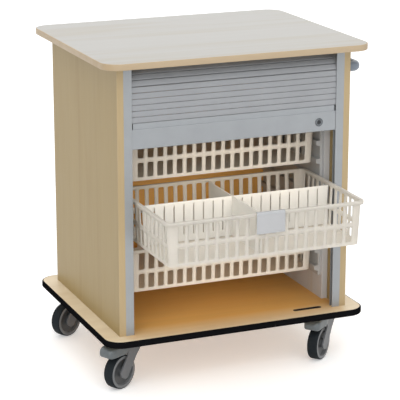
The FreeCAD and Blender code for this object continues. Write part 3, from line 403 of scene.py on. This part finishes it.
def edge_band(name, node, look, thickness, rounding):
    """Band round a board: a rounded section carried round the board's outline."""
    low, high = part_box(node)
    middle = (low + high) / 2
    rings = []
    for corner in range(4):
        sign_x = 1 if corner in (0, 3) else -1
        sign_y = 1 if corner in (0, 1) else -1
        cx = middle.x + sign_x * ((high.x - low.x) / 2 - PLAN_RADIUS)
        cy = middle.y + sign_y * ((high.y - low.y) / 2 - PLAN_RADIUS)
        for step in range(13):
            angle = math.radians(90.0 * corner + 90.0 * step / 12)
            outward = Vector((math.cos(angle), math.sin(angle), 0))
            rings.append([Vector((cx, cy, 0)) + outward * (PLAN_RADIUS - inset) + Vector((0, 0, z))
                          for inset, z in band_section(thickness, rounding, low.z, high.z)])
    points, faces = strip(rings)
    obj = piece(name, points, faces, look, 50.0)
    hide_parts(node)
    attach(obj, "cabinet")


edge_band("worktop_band", "worktop_edge_band", "maple_edge", 2.0 * MM, 1.9 * MM)
edge_band("bumper_band", "bumper_edge", "bumper", 4.0 * MM, 3.5 * MM)


# ---- shutter slats ---------------------------------------------------------------------------------------
def slat_section():
    """Section of one slat: (along the shutter, out of its face). A crowned face between rounded edges."""
    half = (SLAT_PITCH - SLAT_GAP) / 2
    top = SLAT_THICKNESS / 2
    lean = 1.4 * MM
    edge = 1.3 * MM
    crown = SLAT_CROWN
    section = [(-half + lean, -top), (-half, top - crown - 2 * edge)]
    for step in range(4):
        angle = math.radians(90.0 * step / 3)
        section.append((-half + edge * (1 - math.cos(angle)), top - crown - edge * (1 - math.sin(angle))))
    for share in (-0.5, 0.0, 0.5):
        section.append((share * half, top - crown * (share / 0.9) ** 2))
    for step in range(4):
        angle = math.radians(90.0 * step / 3)
        section.append((half - edge * (1 - math.sin(angle)), top - crown - edge * (1 - math.cos(angle))))
    section += [(half, top - crown - 2 * edge), (half - lean, -top)]
    return section


def bead_section(radius, steps=8):
    """Round hinge bead between two slats, at the back of the gap."""
    ring = []
    for step in range(steps):
        angle = -2 * math.pi * step / steps
        ring.append((SLAT_PITCH / 2 + radius * math.cos(angle), BEAD_DEPTH + radius * math.sin(angle)))
    return ring


BAR_TOP = BAR_HIGH.z + SLAT_GAP / 2
RUN_Y = SLATS_LOW.y + SLAT_THICKNESS / 2
BEND_Z = BAR_TOP + 90 * MM                            # where the shutter starts to bend backwards


def run_place(distance):
    """Point of the shutter's run at a distance above the bar, and how far the run has turned."""
    straight = BEND_Z - BAR_TOP
    if distance <= straight:
        return RUN_Y, BAR_TOP + distance, 0.0
    turn = (distance - straight) / BEND_RADIUS
    return RUN_Y + BEND_RADIUS * (1 - math.cos(turn)), BEND_Z + BEND_RADIUS * math.sin(turn), turn


def make_slat(index):
    y, z, turn = run_place((index + 0.5) * SLAT_PITCH)
    along = Vector((0, math.sin(turn), math.cos(turn)))
    out = Vector((0, -math.cos(turn), math.sin(turn)))
    points, faces = [], []
    for section, inset in ((slat_section(), 0.0), (bead_section(BEAD_RADIUS), BEAD_INSET)):
        rings = []
        for x in (SLATS_LOW.x + inset, SLATS_HIGH.x - inset):
            rings.append([Vector((x, y, z)) + along * a + out * o for a, o in section])
        more_points, more_faces = strip(rings, closed=False, caps=True)
        first = len(points)
        points += more_points
        faces += [tuple(first + k for k in face) for face in more_faces]
    obj = piece("slat_%d" % (index + 1), points, faces, "slat", 40.0)
    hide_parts("front_slats")
    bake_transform(obj)


for number in range(SLAT_COUNT):
    make_slat(number)


# ---- baskets ---------------------------------------------------------------------------------------------
BASKET_FLANGE = 13 * MM        # rim beyond the wall
BASKET_WALL = 2.5 * MM
BASKET_LIP = 12 * MM
BASKET_DRAFT = 5 * MM          # the walls lean in by this much at the floor
BASKET_CORNER = 14 * MM
HOLE_PITCH = 29.4 * MM
HOLE_WIDTH = 18 * MM
HOLE_ROUNDING = 4.5 * MM
HOLE_MARGIN = 16 * MM
HOLE_ROWS = ((7.0 * MM, 49.75 * MM), (62.75 * MM, 115.0 * MM))     # above the basket's bottom
ROW_LINES = (3.0 * MM, 56.25 * MM, 119.5 * MM)                     # between, below and above the rows


class Basket:
    """Skin of a basket's outside as separate faces, which meet at equal points and are merged at the end."""

    def __init__(self, low, high):
        self.middle = (low + high) / 2
        self.low_z = low.z
        self.height = high.z - low.z
        self.half = ((high.x - low.x) / 2 - BASKET_FLANGE, (high.y - low.y) / 2 - BASKET_FLANGE)
        self.points = []
        self.faces = []

    def reach(self, axis, z):
        """Half length of the wall along an axis at a height above the bottom."""
        return self.half[axis] - BASKET_DRAFT * (1 - z / self.height)

    def spot(self, wall, u, z, out=0.0):
        """Point of a wall: u along it from its middle, z up, out beyond it. Past the straight part u turns
        round the corner, as far as the corner's middle."""
        along = wall % 2                         # walls 0 and 2 run along X, 1 and 3 along Y
        straight = self.reach(along, z) - BASKET_CORNER
        side = math.copysign(1, u)
        turn = min(math.pi / 4, max(0.0, (abs(u) - straight) / BASKET_CORNER))
        a = side * (min(abs(u), straight) + (BASKET_CORNER + out) * math.sin(turn))
        b = self.reach(1 - along, z) - BASKET_CORNER + (BASKET_CORNER + out) * math.cos(turn)
        place = {0: (a, -b), 1: (b, a), 2: (-a, b), 3: (-b, -a)}[wall]
        return Vector((self.middle.x + place[0], self.middle.y + place[1], self.low_z + z))

    def face(self, *corners):
        first = len(self.points)
        self.points += corners
        self.faces.append(tuple(range(first, first + len(corners))))

    def cell(self, wall, u0, u1, z0, z1, hole):
        """Part of a wall round one hole: a rectangle with a round-cornered opening."""
        h0, h1, v0, v1 = hole
        r = HOLE_ROUNDING
        outline = []
        for quarter in range(4):
            cu = (h1 - r) if quarter in (0, 3) else (h0 + r)
            cv = (v1 - r) if quarter in (0, 1) else (v0 + r)
            eu = u1 if quarter in (0, 3) else u0
            ev = z1 if quarter in (0, 1) else z0
            arc = []
            for step in range(5):
                angle = math.radians(90.0 * quarter + 90.0 * step / 4)
                arc.append(self.spot(wall, cu + r * math.cos(angle), cv + r * math.sin(angle)))
            first, second = (eu, cv), (cu, ev)
            if quarter in (1, 3):
                first, second = (cu, ev), (eu, cv)
            start = self.spot(wall, *first)
            corner = self.spot(wall, eu, ev)
            end = self.spot(wall, *second)
            self.face(start, corner, arc[1], arc[0])
            self.face(corner, arc[2], arc[1])
            self.face(corner, arc[3], arc[2])
            self.face(corner, end, arc[4], arc[3])
            outline.append((start, end, arc[0], arc[4]))
        for quarter in range(4):
            following = outline[(quarter + 1) % 4]
            self.face(outline[quarter][1], following[0], following[2], outline[quarter][3])

    def wall(self, wall):
        length = 2 * self.half[wall % 2]
        count = int((length - 2 * HOLE_MARGIN - HOLE_WIDTH) / HOLE_PITCH) + 1
        middles = [(k - (count - 1) / 2) * HOLE_PITCH for k in range(count)]
        inset = HOLE_WIDTH / 2 - HOLE_ROUNDING
        lines = [middles[0] - HOLE_PITCH / 2]
        for middle in middles:
            lines += [middle - inset, middle + inset, middle + HOLE_PITCH / 2]
        for (v0, v1), z0, z1 in zip(HOLE_ROWS, ROW_LINES, ROW_LINES[1:]):
            for middle in middles:
                hole = (middle - HOLE_WIDTH / 2, middle + HOLE_WIDTH / 2, v0, v1)
                self.cell(wall, middle - HOLE_PITCH / 2, middle + HOLE_PITCH / 2, z0, z1, hole)
        self.plain(wall, lines, [(0.0, 0.0), (ROW_LINES[0], 0.0)])
        levels = [ROW_LINES[0]]
        for (v0, v1), z1 in zip(HOLE_ROWS, ROW_LINES[1:]):
            levels += [v0 + HOLE_ROUNDING, v1 - HOLE_ROUNDING, z1]
        self.corner(wall, lines[0], [(z, 0.0) for z in [0.0] + levels])
        self.corner(wall, lines[-1], [(z, 0.0) for z in [0.0] + levels])
        rim = self.rim_levels()
        self.plain(wall, lines, rim)
        self.corner(wall, lines[0], rim)
        self.corner(wall, lines[-1], rim)

    def rim_levels(self):
        """(height, out) up the top of the wall, under the flange and down inside the lip, softly rounded."""
        under = self.height - BASKET_WALL
        wide = BASKET_FLANGE - BASKET_WALL
        levels = [(ROW_LINES[2], 0.0), (under - 1.5 * MM, 0.0), (under - 0.4 * MM, 0.4 * MM), (under, 1.5 * MM)]
        levels += [(under, wide - 1.6 * MM), (under - 0.5 * MM, wide - 0.5 * MM), (under - 1.6 * MM, wide)]
        levels.append((self.height - BASKET_LIP, wide))
        return levels

    def plain(self, wall, lines, levels):
        for (z0, out0), (z1, out1) in zip(levels, levels[1:]):
            for u0, u1 in zip(lines, lines[1:]):
                self.face(self.spot(wall, u0, z0, out0), self.spot(wall, u1, z0, out0),
                          self.spot(wall, u1, z1, out1), self.spot(wall, u0, z1, out1))

    def corner(self, wall, edge, levels):
        """From the outermost hole cell to the middle of the corner."""
        side = math.copysign(1, edge)
        for (z0, out0), (z1, out1) in zip(levels, levels[1:]):
            for step in range(6):
                quad = []
                for share, z, out in ((step / 6, z0, out0), ((step + 1) / 6, z0, out0),
                                      ((step + 1) / 6, z1, out1), (step / 6, z1, out1)):
                    end = self.reach(wall % 2, z) - BASKET_CORNER + BASKET_CORNER * math.pi / 4
                    u = side * (abs(edge) + share * (end - abs(edge)))
                    quad.append(self.spot(wall, u, z, out))
                self.face(*(quad if side > 0 else quad[::-1]))


def make_basket(node, body):
    low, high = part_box(node)
    basket = Basket(low, high)
    for wall in range(4):
        basket.wall(wall)
    obj = piece(node + "_moulded", basket.points, basket.faces, "basket", 40.0)
    form = bmesh.new()
    form.from_mesh(obj.data)
    bmesh.ops.remove_doubles(form, verts=form.verts, dist=0.02 * MM)
    foot = [edge for edge in form.edges
            if edge.is_boundary and all(vert.co.z < low.z + 0.1 * MM for vert in edge.verts)]
    bmesh.ops.contextual_create(form, geom=foot)
    bmesh.ops.recalc_face_normals(form, faces=form.faces)
    form.to_mesh(obj.data)
    form.free()
    obj.data.shade_smooth()
    obj.data.set_sharp_from_angle(angle=math.radians(40.0))
    shell = obj.modifiers.new("wall", "SOLIDIFY")
    shell.thickness = BASKET_WALL
    shell.offset = -1.0
    shell.use_even_offset = True
    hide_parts(node)
    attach(obj, body)
    return obj


baskets = [make_basket("top_basket", "top_drawer"), make_basket("middle_basket", "middle_drawer"),
           make_basket("lower_basket", "lower_drawer")]


# ---- lock ------------------------------------------------------------------------------------------------
LOCK_AXIS_INSET = 6.5 * MM     # from the barrel's right side to its axis
COLLAR_BACK = 1.45 * MM        # the collar's back behind the barrel's face
lock_middle = Vector((LOCK_HIGH.x - LOCK_AXIS_INSET, LOCK_LOW.y, (LOCK_LOW.z + LOCK_HIGH.z) / 2))
ring_profile = [(0.0, 6.7 * MM), (0.0, 11.7 * MM), (0.3 * MM, 12.0 * MM), (1.2 * MM, 12.0 * MM),
                (1.7 * MM, 11.2 * MM), (1.7 * MM, 7.2 * MM), (1.3 * MM, 6.7 * MM)]
ring = lathe("lock_collar", [(a - COLLAR_BACK, r) for a, r in ring_profile], lock_middle, (0, -1, 0), "collar")
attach(ring, "shutter")

STRIKE_SLOT_MARGIN = 6.0 * MM        # from the slot to the strike's ends
STRIKE_SLOT_SIDE = 1.75 * MM         # from the slot to the strike's long sides
STRIKE_LIP_OVERLAP = 1.0 * MM        # the lip past the strike's ends
STRIKE_LIP_HALF_WIDTH = 7.2 * MM
STRIKE_LIP_HEIGHT = 0.8 * MM
STRIKE_LIP_ROUNDING = 0.4 * MM


def stadium(half_length, half_width, z, steps=8):
    """Ring with round ends round the middle of the strike."""
    middle = (STRIKE_LOW + STRIKE_HIGH) / 2
    ring = []
    for end in (1, -1):
        for step in range(steps + 1):
            angle = math.radians(180.0 * step / steps - 90.0 * end)
            ring.append(Vector((middle.x + end * (half_length - half_width) + half_width * math.cos(angle),
                                middle.y + half_width * math.sin(angle), z)))
    return ring


def make_strike_lip():
    """Flange of the strike on the base board, open over the slot that the cam drops into."""
    half_slot = (STRIKE_HIGH.x - STRIKE_LOW.x) / 2 - STRIKE_SLOT_MARGIN
    inside = (STRIKE_HIGH.y - STRIKE_LOW.y) / 2 - STRIKE_SLOT_SIDE
    reach = (STRIKE_HIGH.x - STRIKE_LOW.x) / 2 + STRIKE_LIP_OVERLAP
    outside = STRIKE_LIP_HALF_WIDTH
    low, high = STRIKE_HIGH.z + 0.02 * MM, STRIKE_HIGH.z + STRIKE_LIP_HEIGHT
    rounding = STRIKE_LIP_ROUNDING
    rings = [stadium(half_slot, inside, low), stadium(reach, outside, low),
             stadium(reach, outside, high - rounding), stadium(reach - rounding, outside - rounding, high),
             stadium(half_slot, inside, high)]
    points, faces = strip(rings)
    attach(piece("strike_lip", points, faces, "strike", 50.0), "cabinet")


make_strike_lip()


# ---- wheels ----------------------------------------------------------------------------------------------
# Sections as (along the axle, radius) in millimetres, from the wheel's middle.
TYRE = [(-15.2, 40.0), (-15.8, 46.4), (-15.8, 47.0), (-15.2, 48.2), (-13.6, 49.4), (-10.0, 49.9), (0.0, 50.0),
        (10.0, 49.9), (13.6, 49.4), (15.2, 48.2), (15.8, 47.0), (15.8, 46.4), (15.2, 40.0)]
RIM = [(-15.6, 38.6), (-16.0, 39.2), (-16.0, 46.2), (-15.6, 46.9), (-14.8, 47.0), (14.8, 47.0), (15.6, 46.9),
       (16.0, 46.2), (16.0, 39.2), (15.6, 38.6), (10.5, 38.0), (10.0, 37.0), (-10.0, 37.0), (-10.5, 38.0)]
DISH = [(-9.8, 38.0), (-8.8, 30.0), (-7.6, 17.0), (-8.4, 15.0), (-14.6, 13.6), (-15.6, 12.6), (-15.8, 5.3),
        (15.8, 5.3), (15.6, 12.6), (14.6, 13.6), (8.4, 15.0), (7.6, 17.0), (8.8, 30.0), (9.8, 38.0)]
for name in CASTORS:
    low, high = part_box(name + "_wheel")
    center = (low + high) / 2
    axis = JOINT_AXES[name + "_roll"]
    for part, profile, look in (("tyre", TYRE, "tyre"), ("rim", RIM, "rim"), ("dish", DISH, "dish")):
        section = [(a * MM, r * MM) for a, r in profile]
        obj = lathe("%s_%s" % (name, part), section, center, axis, look, 96, 30.0)
        if part == "tyre":
            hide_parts(name + "_wheel")
        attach(obj, name + "_wheel")

for name in CASTORS:
    soften(name + "_castor_fork", 2.2 * MM, 3)


# ---- brake pedals ----------------------------------------------------------------------------------------
PEDAL_PIN = (33.5 * MM, 131.2 * MM)      # in the castor's own frame: along the trail, and the height
CASTOR_TRAIL = 44 * MM         # from the swivel axis to the axle
PEDAL_BACK = 40.3 * MM
PEDAL_TIP = 107.0 * MM
PEDAL_HALF = 24.8 * MM
PEDAL_UNDER = 102.5 * MM
PEDAL_TOP = 138.4 * MM
PEDAL_FALL = 8.5 * MM          # of the top from back to tip
PEDAL_CORNER = 6.5 * MM
PEDAL_TOE = 0.66               # share of the length at which the toe starts to close
TOE_TOP = 10.5 * MM            # how far the closed toe has come down, up and in
TOE_UNDER = 9.5 * MM
TOE_SIDE = 12.0 * MM
CHEEK_INSIDE = 23.75 * MM
CHEEK_OUTSIDE = 24.75 * MM


def castor_frame(name):
    """Castor frame at rest: origin on the floor under the swivel axis, X along the trail, Y along the axle."""
    low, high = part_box(name + "_wheel")
    axle = Vector(JOINT_AXES[name + "_roll"]).normalized()
    trail = Vector((axle.y, -axle.x, 0))
    origin = (low + high) / 2 - trail * CASTOR_TRAIL
    origin.z = 0.0
    return lambda x, y, z: origin + trail * x + axle * y + Vector((0, 0, z))


def pedal_ring(place, x, half, low, high, corner, steps=5):
    """Rounded rectangle across the pedal."""
    ring = []
    for quarter in range(4):
        sign_y = 1 if quarter in (0, 3) else -1
        sign_z = 1 if quarter in (0, 1) else -1
        cy = sign_y * (half - corner)
        cz = (high - corner) if sign_z > 0 else (low + corner)
        for step in range(steps):
            angle = math.radians(90.0 * quarter + 90.0 * step / (steps - 1))
            ring.append(place(x, cy + corner * math.cos(angle), cz + corner * math.sin(angle)))
    return ring


def make_pedal(name):
    """Round-nosed pedal: a swelling body that closes in a blunt toe, with cheeks over the fork's ears."""
    place = castor_frame(name)
    rings = []
    for share in (0.0, 0.012, 0.2, 0.4, 0.6, 0.72, 0.80, 0.86, 0.91, 0.95, 0.98, 0.995, 1.0):
        x = PEDAL_BACK + share * (PEDAL_TIP - PEDAL_BACK)
        toe = max(0.0, (share - PEDAL_TOE) / (1 - PEDAL_TOE))
        close = 1 - math.sqrt(max(0.0, 1 - toe ** 2.4))
        start = 1.0 * MM if share == 0.0 else 0.0
        high = PEDAL_TOP - share * PEDAL_FALL - close * TOE_TOP - start
        low = PEDAL_UNDER + close * TOE_UNDER + start
        half = PEDAL_HALF - close * TOE_SIDE - start
        rings.append(pedal_ring(place, x, half, low, high, min(PEDAL_CORNER, (high - low) / 2.2)))
    points, faces = strip(rings, closed=False, caps=True)
    outline = [(41.5, 103.6), (36.0, 106.5), (31.0, 112.0), (27.5, 119.5), (26.0, 128.0), (26.8, 134.5),
               (29.5, 138.0), (41.5, 138.2)]
    for side in (-1, 1):
        near, far = side * CHEEK_INSIDE, side * CHEEK_OUTSIDE
        inner = [place(x * MM, near, z * MM) for x, z in outline]
        middle = [place(x * MM, (near + 2 * far) / 3, z * MM) for x, z in outline]
        trimmed = [(PEDAL_PIN[0] + (x * MM - PEDAL_PIN[0]) * 0.97, PEDAL_PIN[1] + (z * MM - PEDAL_PIN[1]) * 0.97)
                   for x, z in outline]
        outer = [place(x, far, z) for x, z in trimmed]
        more_points, more_faces = strip([inner, middle, outer], closed=False, caps=True)
        first = len(points)
        points += more_points
        faces += [tuple(first + k for k in (face if side > 0 else reversed(face))) for face in more_faces]
    obj = piece(name + "_pedal", points, faces, "pedal", 50.0)
    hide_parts(name + "_brake_pedal")
    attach(obj, name + "_brake")


make_pedal("front_left")
make_pedal("front_right")
soften("side_handle", 4.5 * MM, 3)
soften("label_holder", 0.5 * MM, 2)


# ---- screws ----------------------------------------------------------------------------------------------
SCREW_RADIUS = 3.6 * MM
SCREW_HEIGHT = 1.6 * MM
SCREW_SIDE_MARGIN = 9 * MM
SCREW_END_MARGIN = 40 * MM
SCREW_FOOT_MARGIN = 12 * MM
SIDE_SCREWS = 5
FOOT_SCREWS = 3


def back_screw(name, x, z):
    """Pan head with a recess, on the back panel."""
    radius, height = SCREW_RADIUS, SCREW_HEIGHT
    recess = radius * 0.42
    profile = [(0.0, 0.02 * MM), (0.0, radius), (height * 0.45, radius), (height * 0.85, radius * 0.78),
               (height, radius * 0.5), (height, recess), (height * 0.35, recess * 0.5), (height * 0.3, 0.02 * MM)]
    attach(lathe(name, profile, (x, BACK_HIGH.y, z), (0, 1, 0), "zinc", 20, 40.0), "cabinet")


for row in range(SIDE_SCREWS):
    z = BACK_LOW.z + SCREW_END_MARGIN + row * (BACK_HIGH.z - BACK_LOW.z - 2 * SCREW_END_MARGIN) / (SIDE_SCREWS - 1)
    back_screw("back_screw_left_%d" % (row + 1), BACK_LOW.x + SCREW_SIDE_MARGIN, z)
    back_screw("back_screw_right_%d" % (row + 1), BACK_HIGH.x - SCREW_SIDE_MARGIN, z)
for column in range(FOOT_SCREWS):
    x = BACK_LOW.x + (column + 1) * (BACK_HIGH.x - BACK_LOW.x) / (FOOT_SCREWS + 1)
    back_screw("back_screw_foot_%d" % (column + 1), x, BACK_LOW.z + SCREW_FOOT_MARGIN)


# ---- camera ----------------------------------------------------------------------------------------------
CAMERA_AZIMUTH = -22.66       # degrees, 0 looks along +Y
CAMERA_PITCH = 15.74          # degrees below the horizon
CAMERA_PLACE = Vector((-1.934 + CABINET_X, -4.647 + CABINET_Y, 1.865))
PHOTO_PIXELS = 400.0          # width and height of the photograph
FOCAL_PIXELS = 1766.0
SENSOR = 36.0

camera_data = bpy.data.cameras.new("camera")
camera = bpy.data.objects.new("camera", camera_data)
bpy.context.scene.collection.objects.link(camera)
camera.location = CAMERA_PLACE
camera.rotation_euler = (math.radians(90.0 - CAMERA_PITCH), 0.0, math.radians(CAMERA_AZIMUTH))
camera_data.sensor_width = SENSOR
camera_data.lens = FOCAL_PIXELS * SENSOR / PHOTO_PIXELS
camera_data.clip_end = 50.0
bpy.context.scene.camera = camera


# ---- studio ----------------------------------------------------------------------------------------------
def far_light(name, toward, strength, spread_degrees):
    """Very large soft box, far enough away to light the whole floor evenly."""
    data = bpy.data.lights.new(name, "SUN")
    data.energy = strength
    data.angle = math.radians(spread_degrees)
    light = bpy.data.objects.new(name, data)
    bpy.context.scene.collection.objects.link(light)
    light.rotation_euler = Vector(toward).to_track_quat("-Z", "Y").to_euler()


far_light("key", (0.30, 0.77, -0.57), 1.45, 70.0)
far_light("top", (0.05, 0.10, -1.0), 1.12, 80.0)
far_light("rear", (-0.45, -0.80, -0.50), 0.75, 80.0)


INSIDE_NODES = ("inner_back_panel", "base_board", "left_runner_board", "right_runner_board", "left_ledge_rack",
                "right_ledge_rack", "cross_divider", "long_divider")
inside_pieces = bpy.data.collections.new("inside_pieces")
for obj in [nodes[name] for name in INSIDE_NODES] + baskets:
    inside_pieces.objects.link(obj)


def inside_light(name, place, aim, size, watts):
    """Small soft box close in front of the opening, which lifts the shade inside. It lights no piece of the
    shutter, which may hang close behind it, and the camera doesn't see it."""
    data = bpy.data.lights.new(name, "AREA")
    data.shape = "RECTANGLE"
    data.size, data.size_y = size
    data.energy = watts
    data.color = (1.0, 0.86, 0.70)        # light that the maple inside has warmed
    data.spread = math.radians(75.0)
    light = bpy.data.objects.new(name, data)
    bpy.context.scene.collection.objects.link(light)
    light.location = place
    light.rotation_euler = (Vector(aim) - Vector(place)).to_track_quat("-Z", "Y").to_euler()
    light.visible_camera = False
    light.visible_glossy = False
    light.light_linking.receiver_collection = inside_pieces


OPENING_Y = LEFT_PANEL_LOW.y
LAMP_Y = OPENING_Y - 0.20
AIM_Y = OPENING_Y + 0.4
inside_light("low_shade", (CABINET_X, LAMP_Y, 0.33), (CABINET_X, AIM_Y, 0.19), (0.5, 0.10), 0.27)
inside_light("high_shade", (CABINET_X, LAMP_Y, 0.62), (CABINET_X, AIM_Y, 0.60), (0.5, 0.06), 0.23)

LIT_STRENGTH = 0.36            # of the world, on the object
WHITE_STRENGTH = 1.0           # of the world, as the background
FLOOR_GLOW = 0.35              # of the floor, as the background
FLOOR_HALF = 20.0


def seen_directly(tree):
    """1 for rays from the camera and for those in gloss or glass, 0 for the light on the object."""
    path = tree.nodes.new("ShaderNodeLightPath")
    total = path.outputs["Is Camera Ray"]
    for output in ("Is Glossy Ray", "Is Transmission Ray"):
        add = tree.nodes.new("ShaderNodeMath")
        add.operation = "ADD"
        add.use_clamp = True
        tree.links.new(total, add.inputs[0])
        tree.links.new(path.outputs[output], add.inputs[1])
        total = add.outputs[0]
    return total


floor_mesh = bpy.data.meshes.new("floor")
floor_mesh.from_pydata([(-FLOOR_HALF, -FLOOR_HALF, 0), (FLOOR_HALF, -FLOOR_HALF, 0),
                        (FLOOR_HALF, FLOOR_HALF, 0), (-FLOOR_HALF, FLOOR_HALF, 0)], [], [(0, 1, 2, 3)])
floor = bpy.data.objects.new("floor", floor_mesh)
bpy.context.scene.collection.objects.link(floor)
floor_look, floor_tree, floor_shader = new_material("floor_white")
floor_clouds = noise(floor_tree, coordinates(floor_tree, (1.0, 1.0, 1.0)), 3.0)
floor_tree.links.new(ramp(floor_tree, floor_clouds, [(0.3, (0.88, 0.88, 0.88)), (0.7, (0.90, 0.90, 0.90))]),
                     floor_shader.inputs["Base Color"])
floor_shader.inputs["Roughness"].default_value = 0.9
floor_shader.inputs["Emission Color"].default_value = (1.0, 1.0, 1.0, 1.0)
floor_tree.links.new(spread(floor_tree, seen_directly(floor_tree), 0.0, FLOOR_GLOW),
                     floor_shader.inputs["Emission Strength"])
floor_shader.inputs["Specular IOR Level"].default_value = 0.1
floor_mesh.materials.append(floor_look)

world = bpy.data.worlds.new("studio")
bpy.context.scene.world = world
world.use_nodes = True
tree = world.node_tree
tree.nodes.clear()
world_out = tree.nodes.new("ShaderNodeOutputWorld")
lit = tree.nodes.new("ShaderNodeBackground")
lit.inputs["Color"].default_value = (1.0, 1.0, 1.0, 1.0)
lit.inputs["Strength"].default_value = LIT_STRENGTH
seen = tree.nodes.new("ShaderNodeBackground")
seen.inputs["Color"].default_value = (1.0, 1.0, 1.0, 1.0)
seen.inputs["Strength"].default_value = WHITE_STRENGTH
choose = tree.nodes.new("ShaderNodeMixShader")
tree.links.new(seen_directly(tree), choose.inputs[0])
tree.links.new(lit.outputs[0], choose.inputs[1])
tree.links.new(seen.outputs[0], choose.inputs[2])
tree.links.new(choose.outputs[0], world_out.inputs["Surface"])
bpy.context.scene.view_settings.view_transform = "Standard"
